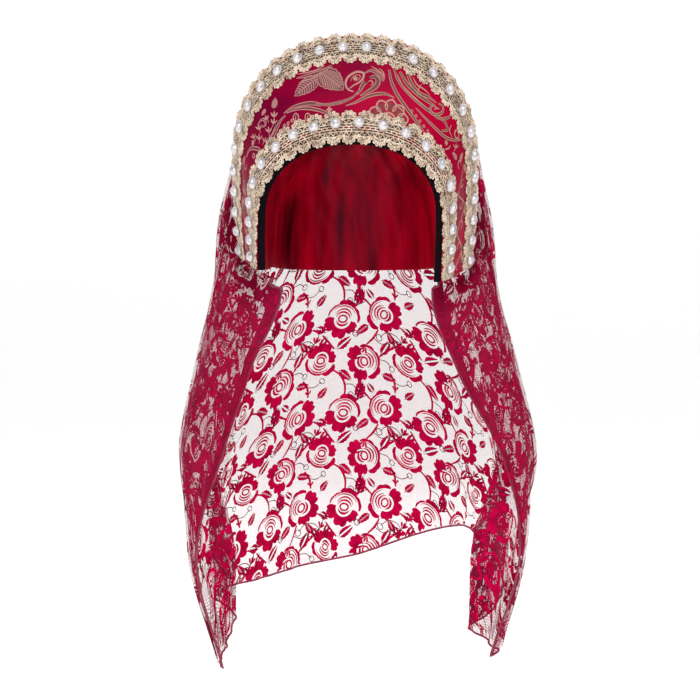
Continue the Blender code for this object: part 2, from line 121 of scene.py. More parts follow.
class Graph:
    """A material's node tree, with its Principled shader."""

    def __init__(self, name: str) -> None:
        """Makes the material of this name."""
        self.material = bpy.data.materials.new(name)
        self.material.use_nodes = True
        self.tree = self.material.node_tree
        self.shader = self.tree.nodes["Principled BSDF"]

    def node(self, kind: str, settings: dict | None = None, inputs: dict | None = None) -> bpy.types.Node:
        """Adds a node.

        Args:
            kind: The node's type.
            settings: Its own settings, set first.
            inputs: Values or links of its sockets, by name or number.

        Returns:
            The node.
        """
        made = self.tree.nodes.new(kind)
        for name, value in (settings or {}).items():
            setattr(made, name, value)
        for name, value in (inputs or {}).items():
            self._feed(made.inputs[name], value)
        return made

    def _feed(self, socket: bpy.types.NodeSocket, value: object) -> None:
        """Links a socket, or sets its value."""
        value = value.socket if isinstance(value, Term) else value
        if isinstance(value, bpy.types.NodeSocket):
            self.tree.links.new(value, socket)
        else:
            socket.default_value = value

    def maths(self, operation: str, *values: Term | float) -> Term:
        """A Math node on these values."""
        return Term(self, self.node("ShaderNodeMath", {"operation": operation}, dict(enumerate(values))).outputs[0])

    def place(self, scale: tuple = (1.0, 1.0, 1.0), turn: float = 0.0) -> bpy.types.NodeSocket:
        """Object coordinates, scaled for each axis and turned about Z by an angle in radians."""
        spot = self.node("ShaderNodeTexCoord").outputs["Object"]
        return self.node("ShaderNodeMapping", None, {
            "Vector": spot, "Scale": scale, "Rotation": (0.0, 0.0, turn),
        }).outputs["Vector"]

    def parts(self, vector: bpy.types.NodeSocket) -> list[Term]:
        """The three numbers of a vector."""
        return [Term(self, part) for part in self.node("ShaderNodeSeparateXYZ", None, {0: vector}).outputs]

    def chart(self) -> list[Term]:
        """The piece's own chart coordinates: two shares of CHART_SPAN along the cloth."""
        return self.parts(self.node("ShaderNodeUVMap", {"uv_map": UV_NAME}).outputs[0])[:2]

    def noise(self, scale: float, detail: float = 2.0, where: object = None) -> Term:
        """A soft random pattern from 0 to 1."""
        inputs = {"Vector": where or self.place(), "Scale": scale, "Detail": detail}
        return Term(self, self.node("ShaderNodeTexNoise", None, inputs).outputs["Fac"])

    def wave(self, where: object, pitch: float, distortion: float = 0.0) -> Term:
        """Even bands from 0 to 1, this many metres apart."""
        inputs = {"Vector": where, "Scale": 0.5 / pitch / math.pi, "Distortion": distortion}
        made = self.node("ShaderNodeTexWave", {"wave_type": "BANDS", "bands_direction": "X"}, inputs)
        return Term(self, made.outputs["Fac"])

    def blend(self, share: Term, low: object, high: object) -> bpy.types.NodeSocket:
        """A colour between two colours."""
        return self.node("ShaderNodeMix", {"data_type": "RGBA"}, {0: share, 6: low, 7: high}).outputs[2]

    def ramp(self, share: Term, stops: Sequence[tuple]) -> bpy.types.NodeSocket:
        """A colour read from a ramp of (place, colour) stops."""
        made = self.node("ShaderNodeValToRGB", None, {0: share})
        elements = made.color_ramp.elements
        while len(elements) < len(stops):
            elements.new(1.0)
        for element, (place, colour) in zip(elements, stops):
            element.position, element.color = place, colour
        return made.outputs[0]

    def bump(self, height: Term, depth: float) -> None:
        """Feeds the shader's normal from a height pattern of this depth in metres."""
        made = self.node("ShaderNodeBump", None, {"Height": height, "Distance": depth, "Strength": 1.0})
        self.tree.links.new(made.outputs[0], self.shader.inputs["Normal"])

    def set(self, **values: object) -> None:
        """Sets the shader's sockets: an underscore in a name stands for a space."""
        for name, value in values.items():
            self._feed(self.shader.inputs[name.replace("_", " ")], value)


@dataclass(frozen=True)
class Satin:
    """A close shiny weave with painted sheen and shade along its folds, and a painted side light brighter towards +X.
    """

    name: str
    deep: tuple
    bright: tuple
    specular: float = 0.3
    roughness: float = 0.34
    lean: float = 0.0
    grain: tuple = (16.0, 16.0, 16.0)
    contrast: float = 2.2
    thread: float = 0.00022
    relief: float = 0.00005
    glint: tuple = (1.0, 0.15, 0.3, 1.0)

    def make(self) -> bpy.types.Material:
        """Builds the material."""
        graph = Graph(self.name)
        # Painted sheen and shade: soft patches between deep and bright.
        soft = graph.noise(1.0, 3.0, graph.place(self.grain))
        lines = graph.wave(graph.place((0.3, 0.3, 1.0)), self.thread)
        cross = graph.wave(graph.place((1.0, 1.0, 0.2), 0.7), self.thread)
        # Painted side light: lean makes the colour brighter towards +X.
        across = graph.parts(graph.place((self.lean, 1.0, 1.0)))[0]
        share = soft * self.contrast - (self.contrast - 1.0) / 2 + across
        graph.set(Base_Color=graph.blend(share.held(), self.deep, self.bright),
                  Roughness=soft * 0.12 + (self.roughness - 0.06),
                  Specular_IOR_Level=self.specular, Specular_Tint=self.glint)
        graph.bump(lines * 0.6 + cross * 0.4, self.relief)
        return graph.material


@dataclass(frozen=True)
class FigureThread:
    """The brocade's raised figure thread, dusty pink on one side and beige gold on the other."""

    name: str
    pink: tuple
    gold: tuple
    gap: tuple = (0.10, 0.012, 0.03, 1.0)
    pitch: float = 0.0007
    change: float = 6.0
    middle: float = 0.42

    def make(self) -> bpy.types.Material:
        """Builds the material."""
        graph = Graph(self.name)
        across = graph.parts(graph.place())[0] * self.change + self.middle
        colour = graph.blend(across + graph.noise(60.0) * 0.4, self.pink, self.gold)
        rows = graph.wave(graph.place(turn=0.5), self.pitch, 0.4)
        graph.set(Base_Color=graph.blend(rows * 0.25, colour, self.gap), Roughness=rows * 0.2 + 0.42,
                  Specular_IOR_Level=0.4)
        graph.bump(rows, 0.00012)
        return graph.material


@dataclass(frozen=True)
class LaceCord:
    """Matt twisted cord."""

    name: str
    low: tuple
    middle: tuple
    high: tuple
    twist: float = 0.0009

    def make(self) -> bpy.types.Material:
        """Builds the material."""
        graph = Graph(self.name)
        soft, fine = graph.noise(140.0, 3.0), graph.noise(900.0)
        stops = ((0.36, self.low), (0.47, self.middle), (0.58, self.high))
        strands = graph.wave(graph.place((1.0, 0.6, 0.8), 0.8), self.twist, 1.5)
        graph.set(Base_Color=graph.ramp(soft * 0.45 + fine * 0.55, stops), Roughness=fine * 0.2 + 0.62,
                  Sheen_Weight=0.3, Sheen_Roughness=0.5)
        graph.bump(strands * 0.7 + fine * 0.3, 0.00022)
        return graph.material


@dataclass(frozen=True)
class PearlCoat:
    """A glossy pearl with faint blue and lilac patches."""

    name: str = "pearl_coat"
    stops: tuple = ((0.30, linear(176, 176, 186)), (0.42, linear(216, 212, 216)),
                    (0.56, linear(242, 236, 234)), (0.70, linear(212, 198, 208)))

    def make(self) -> bpy.types.Material:
        """Builds the material."""
        graph = Graph(self.name)
        graph.set(Base_Color=graph.ramp(graph.noise(190.0, 1.0), self.stops), Roughness=0.24, Metallic=0.25,
                  Coat_Weight=1.0, Coat_Roughness=0.04, IOR=1.6)
        return graph.material


@dataclass(frozen=True)
class RibbedTape:
    """Black woven tape."""

    name: str = "ribbed_tape"
    rib: float = 0.0011

    def make(self) -> bpy.types.Material:
        """Builds the material."""
        graph = Graph(self.name)
        ribs = graph.wave(graph.place((1.0, 0.0, 1.0)), self.rib)
        cross = graph.wave(graph.place((0.0, 1.0, 0.0), math.pi / 2), self.rib)
        graph.set(Base_Color=graph.blend(graph.noise(700.0), linear(3, 2, 4), linear(20, 11, 17)), Roughness=0.85,
                  Specular_IOR_Level=0.1)
        graph.bump(ribs * 0.5 + cross * 0.5, 0.0002)
        return graph.material


@dataclass(frozen=True)
class HexNet:
    """A fine hexagonal net: its threads stay and its holes are clear.

    Past dense_from, in metres from its middle, the threads look wider where the net is gathered in folds.
    """

    name: str
    colour: tuple
    pale: tuple = linear(160, 16, 60)
    pitch: float = 0.00125
    thread_share: float = 0.125
    side_share: float = 0.02
    gathered: float = 0.34
    dense_from: float = 0.20
    sharpness: float = 14.0
    folds_across: float = 110.0
    folds_down: float = 5.0
    fold_level: float = 0.60

    def make(self) -> bpy.types.Material:
        """Builds the material."""
        graph = Graph(self.name)
        along, down = graph.chart()
        x, y = along * (CHART_SPAN / self.pitch), down * (CHART_SPAN / self.pitch)
        tall = math.sqrt(3.0)
        gap = graph.maths("MINIMUM", self._edge_gap(x, y, tall), self._edge_gap(x + 0.5, y + tall / 2, tall))
        side = ((abs(along - 0.5) * CHART_SPAN - self.dense_from) * self.sharpness).held()
        spot = graph.node("ShaderNodeCombineXYZ", None, {0: along * self.folds_across, 1: down * self.folds_down})
        folds = ((graph.noise(1.0, 1.0, spot.outputs[0]) - self.fold_level) * self.sharpness).held()
        share = side * (folds * self.gathered + self.side_share) + self.thread_share
        graph.set(Base_Color=graph.blend(graph.noise(400.0), self.colour, self.pale), Roughness=0.6,
                  Alpha=gap > 0.5 - share / 2, Specular_IOR_Level=0.2)
        return graph.material

    def _edge_gap(self, x: Term, y: Term, tall: float) -> Term:
        """How near a point lies to the edge of its cell, in one of the two lattices of cell centres."""
        near_x, near_y = abs(x % 1.0 - 0.5), abs(y % tall - tall / 2)
        return x.graph.maths("MAXIMUM", near_x * 0.5 + near_y * (tall / 2), near_x)


@dataclass(frozen=True)
class LaceFill:
    """The close-knit filling of a lace figure."""

    name: str
    deep: tuple
    bright: tuple
    pitch: float = 0.0007

    def make(self) -> bpy.types.Material:
        """Builds the material."""
        graph = Graph(self.name)
        graph.set(Base_Color=graph.blend(graph.noise(120.0) * 1.4 - 0.2, self.deep, self.bright), Roughness=0.6,
                  Specular_IOR_Level=0.08, Specular_Tint=(1.0, 0.2, 0.4, 1.0))
        graph.bump(graph.wave(graph.place(turn=0.4), self.pitch, 0.5), 0.0001)
        return graph.material


@dataclass(frozen=True)
class Backdrop:
    """The plain pale floor."""

    name: str = "pale_floor"

    def make(self) -> bpy.types.Material:
        """Builds the material."""
        graph = Graph(self.name)
        graph.set(Base_Color=(0.90, 0.90, 0.905, 1.0), Roughness=0.9, Specular_IOR_Level=0.1,
                  Emission_Color=WHITE, Emission_Strength=0.45)
        return graph.material


# Points and curves

def polar(degrees: float | np.ndarray, reach: float = 1.0) -> np.ndarray:
    """Flat steps of this reach in directions given in degrees."""
    lean = np.radians(degrees)
    return np.stack([np.cos(lean), np.sin(lean)], axis=-1) * reach


def turned(points: np.ndarray, degrees: float) -> np.ndarray:
    """Flat points, turned about the origin."""
    (c, s), x, y = polar(degrees), points[..., 0], points[..., 1]
    return np.stack([x * c - y * s, x * s + y * c], axis=-1)


def raised(flat: np.ndarray, height: float | np.ndarray = 0.0) -> np.ndarray:
    """Flat points with their heights as third numbers."""
    return np.concatenate([flat, np.broadcast_to(height, flat.shape[:-1])[..., None]], axis=-1)


def unit(vectors: np.ndarray) -> np.ndarray:
    """The vectors at length 1."""
    return vectors / (np.linalg.norm(vectors, axis=-1, keepdims=True) + 1e-12)


def left_of(slant: np.ndarray) -> np.ndarray:
    """The flat directions a quarter turn to the left of these."""
    return unit(np.stack([-slant[:, 1], slant[:, 0]], axis=1))


def run_of(points: np.ndarray) -> np.ndarray:
    """The length along a row of points, from its start."""
    return np.concatenate([[0.0], np.cumsum(np.linalg.norm(np.diff(points, axis=0), axis=1))])


def smooth_through(knots: np.ndarray, values: np.ndarray, at: np.ndarray) -> np.ndarray:
    """A smooth curve through the values at the knots, read at other places.

    Args:
        knots: Where the values stand, in rising order.
        values: A row for each knot.
        at: Where to read the curve.

    Returns:
        A row for each place in at.
    """
    slope = np.zeros_like(values)
    gap = np.diff(knots)[:, None]
    rate = np.diff(values, axis=0) / gap
    slope[1:-1] = (rate[:-1] * gap[1:] + rate[1:] * gap[:-1]) / (gap[1:] + gap[:-1])
    slope[0], slope[-1] = rate[0], rate[-1]
    index = np.clip(np.searchsorted(knots, at, side="right") - 1, 0, len(knots) - 2)
    width = (knots[index + 1] - knots[index])[:, None]
    t = (at - knots[index])[:, None] / width
    return (
        (2 * t**3 - 3 * t**2 + 1) * values[index] + (t**3 - 2 * t**2 + t) * slope[index] * width
        + (-2 * t**3 + 3 * t**2) * values[index + 1] + (t**3 - t**2) * slope[index + 1] * width
    )


def evenly(knots: np.ndarray, count: int) -> np.ndarray:
    """A smooth curve through points, as this many even steps of its length."""
    run = run_of(knots)
    return smooth_through(run, knots, np.linspace(0.0, run[-1], count + 1))


def seen_from_front(points: np.ndarray) -> np.ndarray:
    """Where points appear from the camera, as lengths to the right and up at the head's middle."""
    c, s = math.cos(VIEW_AZIMUTH), math.sin(VIEW_AZIMUTH)
    x, y, z = (points[..., k] for k in range(3))
    scale = VIEW_DISTANCE / (VIEW_DISTANCE + (y * c - x * s))
    return np.stack([(x * c + y * s) * scale, (z - EYE_Z) * scale + EYE_Z], axis=-1)


def leaf_swell(share: np.ndarray) -> np.ndarray:
    """A leaf's half width at shares of its length, as a share of its widest."""
    return np.sin(math.pi * share**0.66) ** 0.75


# Forms shared with the solids

@dataclass(frozen=True)
class Arch:
    """A horseshoe arch: a full quarter down each side of its top, then a leg that draws in."""

    half_width: float
    top: float
    spring: float
    top_y: float
    end_y: float
    end_half_width: float
    end_z_minus: float
    end_z_plus: float
    roundness: float = 2.2
    steps: int = 160

    @functools.cached_property
    def sides(self) -> tuple[tuple, tuple]:
        """x, z and run down the -X side and the +X side."""
        return self._side(self.end_z_minus), self._side(self.end_z_plus)

    def _side(self, end_z: float) -> tuple[np.ndarray, np.ndarray, np.ndarray]:
        """x, z and run from the top to one end."""
        turn, power = np.linspace(0.0, math.pi / 2, self.steps), 2.0 / self.roundness
        down = np.linspace(0.0, 1.0, self.steps)[1:]
        leg_x = self.half_width - (self.half_width - self.end_half_width) * down**2
        leg_z = self.spring + (end_z - self.spring) * down
        x = np.concatenate([self.half_width * np.sin(turn) ** power, leg_x])
        z = np.concatenate([self.spring + (self.top - self.spring) * np.cos(turn) ** power, leg_z])
        return x, z, np.concatenate([[0.0], np.cumsum(np.hypot(np.diff(x), np.diff(z)))])

    def at(self, share: np.ndarray) -> np.ndarray:
        """Points at shares of the arch's length: 0 at the top, -1 and 1 at its ends."""
        found = np.zeros((len(share), 3))
        for side, (x, z, run), end_z in zip((-1.0, 1.0), self.sides, (self.end_z_minus, self.end_z_plus)):
            chosen = share > 0 if side > 0 else share <= 0
            at = np.clip(np.abs(share[chosen]), 0.0, 1.0) * run[-1]
            px, pz = np.interp(at, run, x), np.interp(at, run, z)
            fall = np.maximum(self.top - pz, 0.0) / (self.top - end_z)
            y = self.top_y + (self.end_y - self.top_y) * fall**1.2
            found[chosen] = np.stack([side * px, y, pz], axis=1)
        return found


@dataclass(frozen=True)
class CrescentForm:
    """The crescent's middle surface, ruled between the face edge and the rim."""

    face: Arch = Arch(0.0900, -0.0115, -0.0880, -0.0450, -0.0750, 0.0885, -0.1425, -0.1545)
    rim: Arch = Arch(0.1205, 0.0915, -0.0300, -0.0120, 0.0130, 0.1145, -0.1265, -0.1365)
    wall: float = 0.0030
    top_lean: float = 0.5
    steps: int = 33

    def points(self, share: np.ndarray, across: np.ndarray) -> np.ndarray:
        """Points on the surface.

        Args:
            share: Shares along the crescent, from -1 to 1.
            across: For each share, 0 at the face edge and 1 at the rim.

        Returns:
            One point for each pair.
        """
        low, high = self.face.at(share), self.rim.at(share)
        found = low + (high - low) * across[:, None]
        lean = 1.0 + self.top_lean * (1.0 - share**2) ** 2
        bent = low[:, 1] + (high[:, 1] - low[:, 1]) * np.clip(across, 1e-9, 1.0) ** lean
        found[:, 1] = np.where((across > 0.0) & (across < 1.0), bent, found[:, 1])
        return found

    def normals(self, share: np.ndarray, across: np.ndarray) -> np.ndarray:
        """The outward direction at points on the surface."""
        step = 0.01
        share, across = np.clip(share, -1.0 + step, 1.0 - step), np.clip(across, step, 1.0 - step)
        along = self.points(share + step, across) - self.points(share - step, across)
        out = self.points(share, across + step) - self.points(share, across - step)
        return unit(np.cross(along, out))

    def width_runs(self, share: np.ndarray) -> tuple[np.ndarray, np.ndarray]:
        """The across steps, and for each share the distance from the face edge at each step."""
        steps = np.linspace(0.0, 1.0, self.steps)
        rows = np.array([self.points(share, np.full(len(share), a)) for a in steps])
        lengths = np.linalg.norm(np.diff(rows, axis=0), axis=2)
        return steps, np.concatenate([np.zeros((1, len(share))), np.cumsum(lengths, axis=0)])

    def sheet(self, share: np.ndarray, distances: Callable[[np.ndarray], np.ndarray], lift: float) -> np.ndarray:
        """A grid of points lifted off the surface.

        Args:
            share: The shares of its columns.
            distances: Gives, from the columns' widths, a row of distances from the face edge for each row.
            lift: How far outside the surface it lies.

        Returns:
            Points by row and column.
        """
        steps, runs = self.width_runs(share)
        rows, width = [], runs[-1]
        for distance in distances(width):
            across = np.array([np.interp(d, runs[:, c], steps) for c, d in enumerate(distance)])
            across = np.where(distance > width, 1.0 + (distance - width) / width, across)
            across = np.where(distance < 0.0, distance / width, across)
            rows.append(self.points(share, across) + self.normals(share, across) * lift)
        return np.array(rows)

    def face_edge(self, share: np.ndarray) -> tuple[np.ndarray, np.ndarray]:
        """The face edge's points, and the level directions away from the face at them."""
        edge = self.face.at(share)
        along = np.gradient(edge, axis=0)
        return edge, unit(np.stack([-along[:, 2], np.zeros(len(share)), along[:, 0]], axis=1))


# Meshes

def grid_faces(tall: int, wide: int, base: int = 0) -> list[tuple]:
    """Quads of a grid stored row by row, from vertex number base."""
    corners = [base + r * wide + c for r in range(tall - 1) for c in range(wide - 1)]
    return [(a, a + 1, a + wide + 1, a + wide) for a in corners]


def tube_faces(rings: int, sides: int, closed: bool = False) -> list[tuple]:
    """Quads of a tube stored ring by ring; an open tube's two ends come last."""
    faces = []
    for r in range(rings if closed else rings - 1):
        a, b = r * sides, (r + 1) % rings * sides
        faces += [(a + k, a + (k + 1) % sides, b + (k + 1) % sides, b + k) for k in range(sides)]
    if not closed:
        faces += [tuple(reversed(range(sides))), tuple(range((rings - 1) * sides, rings * sides))]
    return faces


@dataclass
class FlatWork:
    """A drawing of ribbons and patches in a plane, in millimetres, that is wrapped on a surface later.

    Angles are in degrees. A shape's crown is how high its middle stands, and a ribbon's ends are its widths at its
    two ends, as shares of its full width.
    """

    points: list = field(default_factory=list)
    faces: list = field(default_factory=list)

    def add(self, points: np.ndarray, faces: Iterable) -> None:
        """Adds a mesh, whose faces count from its own first point."""
        base = len(self.points)
        self.points.extend(points.reshape(-1, 3))
        self.faces.extend(tuple(base + k for k in face) for face in faces)

    def strip(self, rows: np.ndarray) -> None:
        """Adds a grid of points as quads."""
        self.add(rows, grid_faces(*rows.shape[:2]))

    @staticmethod
    def course(spine: Sequence, width: float, ends: tuple, step: float, full: float = 0.5
               ) -> tuple[np.ndarray, np.ndarray, np.ndarray]:
        """A smooth curve with its sideways directions and its half widths.

        Args:
            spine: The curve's points.
            width: Its width where it is fullest.
            ends: Its width at its two ends, as shares.
            step: The length of a segment.
            full: The share of its length at which it is fullest.

        Returns:
            The points, the sideways directions and the half widths.
        """
        knots = np.asarray(spine, float)
        run = run_of(knots)
        at = np.linspace(0.0, run[-1], max(math.ceil(run[-1] / step), 2) + 1)
        line, share = smooth_through(run, knots, at), at / run[-1]
        rise = np.where(share < full, share / full, (1.0 - share) / (1.0 - full))
        least = np.where(share < full, ends[0], ends[1])
        half = width / 2 * (least + (1.0 - least) * np.sin(rise * math.pi / 2))
        return line, left_of(np.gradient(line, axis=0)), half

    def stroke(self, spine: Sequence, width: float, ends: tuple = (0.25, 0.25), step: float = 1.6,
               crown: float = 0.0, full: float = 0.5) -> None:
        """A ribbon along a smooth curve, with the same arguments as course."""
        line, side, half = self.course(spine, width, ends, step, full)
        across = np.array([1.0, 0.0, -1.0] if crown else [1.0, -1.0])
        grid = line[:, None] + side[:, None] * (half[:, None] * across)[..., None]
        self.strip(raised(grid, crown * (across == 0.0)))

    def arc(self, centre: Sequence, radius: float, start: float, end: float, width: float,
            ends: tuple = (0.3, 0.3), flat: float = 1.0, turn: float = 0.0, crown: float = 0.0,
            step: float = 1.6) -> None:
        """A ribbon along an arc of an ellipse.

        Args:
            centre: Its centre.
            radius: Its radius along its own first axis.
            start: The angle where it starts.
            end: The angle where it ends.
            width: Its width where it is fullest.
            ends: Its width at its two ends, as shares.
            flat: Its other radius, as a share of the first.
            turn: The turn of its axes.
            crown: How high its middle stands.
            step: The length of a segment.
        """
        spine = turned(polar(np.linspace(start, end, 9), radius) * (1.0, flat), turn) + centre
        self.stroke(spine, width, ends, step, crown)

    def petal(self, centre: Sequence, inner: float, outer: float, middle: float, spread: float,
              lobes: int, cut: float = 0.14) -> None:
        """A petal with a lobed outer edge, between two radii about a centre.

        Args:
            centre: The centre that it goes round.
            inner: Its inner radius.
            outer: Its outer radius.
            middle: The angle of its middle.
            spread: The angle that it covers.
            lobes: The lobes on its outer edge.
            cut: The depth of the cuts between lobes, as a share of its length.
        """
        share = np.linspace(0.0, 1.0, 4 * lobes + 1)
        bulge = 1.0 - 0.45 * np.abs(2 * share - 1) ** 3
        notch = 1.0 - cut * (1.0 - np.abs(np.sin(math.pi * lobes * share)) ** 0.6)
        radius = inner + (outer - inner) * (bulge * notch) * np.array([[0.0], [0.5], [1.0]])
        self.strip(raised(polar(middle + (share - 0.5) * spread) * radius[..., None] + centre))

    def leaf(self, base: Sequence, turn: float, length: float, width: float, teeth: int = 5,
             vein: float = 0.7, crown: float = 0.0) -> None:
        """A pointed leaf with toothed edges and a clear vein.

        Args:
            base: Where its stalk joins.
            turn: The direction that it points in.
            length: Its length.
            width: Its full width.
            teeth: Teeth on each edge.
            vein: The width of its vein.
            crown: How high its two halves stand.
        """
        share = np.linspace(0.0, 1.0, 3 * teeth + 1)
        half = width / 2 * leaf_swell(share) * (1.0 - 0.22 * ((share * teeth) % 1.0))
        half[0] = half[-1] = 0.0
        for side in (-1.0, 1.0):
            inner = side * np.minimum(vein / 2, half)
            rows = [inner + (side * half - inner) * part for part in (0.0, 0.5, 1.0)]
            grid = np.stack([np.broadcast_to(share * length, (3, len(share))), rows], axis=-1)
            grid = raised(turned(grid, turn) + base, np.array([[0.0], [crown], [0.0]]))
            self.strip(grid if side > 0 else grid[::-1])

    def cord(self, spine: Sequence, width: float, height: float, step: float, closed: bool = False,
             sides: int = 5) -> None:
        """A round cord along a smooth curve that lies in the plane.

        Args:
            spine: The curve's points.
            width: The cord's width.
            height: The cord's height.
            step: The length of a segment.
            closed: Whether it is a ring.
            sides: Sides of its section.
        """
        knots = np.asarray(spine, float)
        run = run_of(knots)
        at = np.linspace(0.0, run[-1], max(math.ceil(run[-1] / step), 1) + 1)
        if len(knots) > 2:
            line = smooth_through(run, knots, at)
        else:
            line = knots[0] + (knots[-1] - knots[0]) * (at / run[-1])[:, None]
        if closed:
            line = line[:-1]
            slant = np.roll(line, -1, axis=0) - np.roll(line, 1, axis=0)
        else:
            slant = np.gradient(line, axis=0)
        section = polar(360 * np.arange(sides) / sides + 90)
        flat = line[:, None] + left_of(slant)[:, None] * (width / 2 * section[:, :1])
        self.add(raised(flat, height / 2 * (1.0 + section[:, 1])), tube_faces(len(line), sides, closed))

    def disc(self, centre: Sequence, radius: float, sides: int, crown: float) -> None:
        """A small round patch."""
        rim = raised(centre + polar(360 * np.arange(sides) / sides, radius))
        self.add(np.vstack([[*centre, crown], rim]), [(0, 1 + k, 1 + (k + 1) % sides) for k in range(sides)])

    def dome(self, centre: Sequence, radius: float, height: float, sides: int = 18, rings: int = 6) -> None:
        """A round dome with a flat back."""
        lean = math.pi / 2 * (np.arange(rings) / rings) ** 0.9
        flat = centre + polar(360 * np.arange(sides) / sides) * (radius * np.cos(lean))[:, None, None]
        rows = raised(flat, height * np.sin(lean)[:, None])
        last = (rings - 1) * sides
        cap = [(last + k, last + (k + 1) % sides, rings * sides) for k in range(sides)]
        self.add(np.vstack([rows.reshape(-1, 3), [*centre, height]]), tube_faces(rings, sides)[:-1] + cap)

    def object(self, name: str) -> bpy.types.Object:
        """The drawing as an object in metres."""
        return new_object(name, np.array(self.points) * MM, self.faces)


def new_object(name: str, points: Iterable, faces: Iterable) -> bpy.types.Object:
    """An object with this mesh, linked to the scene."""
    mesh = bpy.data.meshes.new(name)
    mesh.from_pydata([tuple(map(float, p)) for p in points], [], [tuple(map(int, f)) for f in faces])
    return link(bpy.data.objects.new(name, mesh))


def link(made: bpy.types.Object) -> bpy.types.Object:
    """Links an object to the scene."""
    bpy.context.scene.collection.objects.link(made)
    return made


def sheet_object(name: str, grid: np.ndarray) -> bpy.types.Object:
    """A grid of points as one open sheet."""
    return new_object(name, grid.reshape(-1, 3), grid_faces(*grid.shape[:2]))


def sheet_normals(grid: np.ndarray) -> np.ndarray:
    """The normals of a grid of points."""
    down, along = np.gradient(grid, axis=(0, 1))
    return unit(np.cross(along, down))


def walled_object(name: str, front: np.ndarray, back: np.ndarray) -> bpy.types.Object:
    """A closed wall between two grids of the same shape; front is the side that its quads face."""
    tall, wide = front.shape[:2]
    base = tall * wide
    faces = grid_faces(tall, wide) + [quad[::-1] for quad in grid_faces(tall, wide, base)]
    numbers = np.arange(base).reshape(tall, wide)
    rim = [*numbers[0], *numbers[1:, -1], *numbers[-1, -2::-1], *numbers[-2:0:-1, 0]]
    faces += [(b, a, base + a, base + b) for a, b in zip(rim, rim[1:] + rim[:1])]
    return weld(new_object(name, np.concatenate([front, back]).reshape(-1, 3), faces))


def weld(made: bpy.types.Object, turn_out: bool = True) -> bpy.types.Object:
    """Merges an object's doubles and, for a closed one, turns its faces outwards."""
    work = bmesh.new()
    work.from_mesh(made.data)
    bmesh.ops.remove_doubles(work, verts=work.verts, dist=1e-6)
    if turn_out:
        bmesh.ops.recalc_face_normals(work, faces=work.faces)
    work.to_mesh(made.data)
    work.free()
    return made


def smooth(made: bpy.types.Object, angle: float = 50.0) -> bpy.types.Object:
    """Shades an object smooth, with edges sharper than an angle in degrees kept."""
    made.data.shade_smooth()
    made.data.set_sharp_from_angle(angle=math.radians(angle))
    return made


def dress(made: bpy.types.Object, material: bpy.types.Material) -> bpy.types.Object:
    """Gives an object its material."""
    made.data.materials.clear()
    made.data.materials.append(material)
    return made


def add_chart(made: bpy.types.Object, chart: np.ndarray, outward: np.ndarray) -> None:
    """Stores a chart and the outward directions on a sheet, for pieces that are wrapped on it.

    Args:
        made: The sheet.
        chart: For each vertex, two lengths along the cloth in metres.
        outward: For each vertex, its outward direction.
    """
    layer = made.data.uv_layers.new(name=UV_NAME)
    corners = np.zeros(len(made.data.loops), dtype=np.int32)
    made.data.loops.foreach_get("vertex_index", corners)
    layer.data.foreach_set("uv", (chart.reshape(-1, 2)[corners] / CHART_SPAN + 0.5).ravel())
    made.data.attributes.new(OUTWARD, "FLOAT_VECTOR", "POINT").data.foreach_set("vector", outward.ravel())


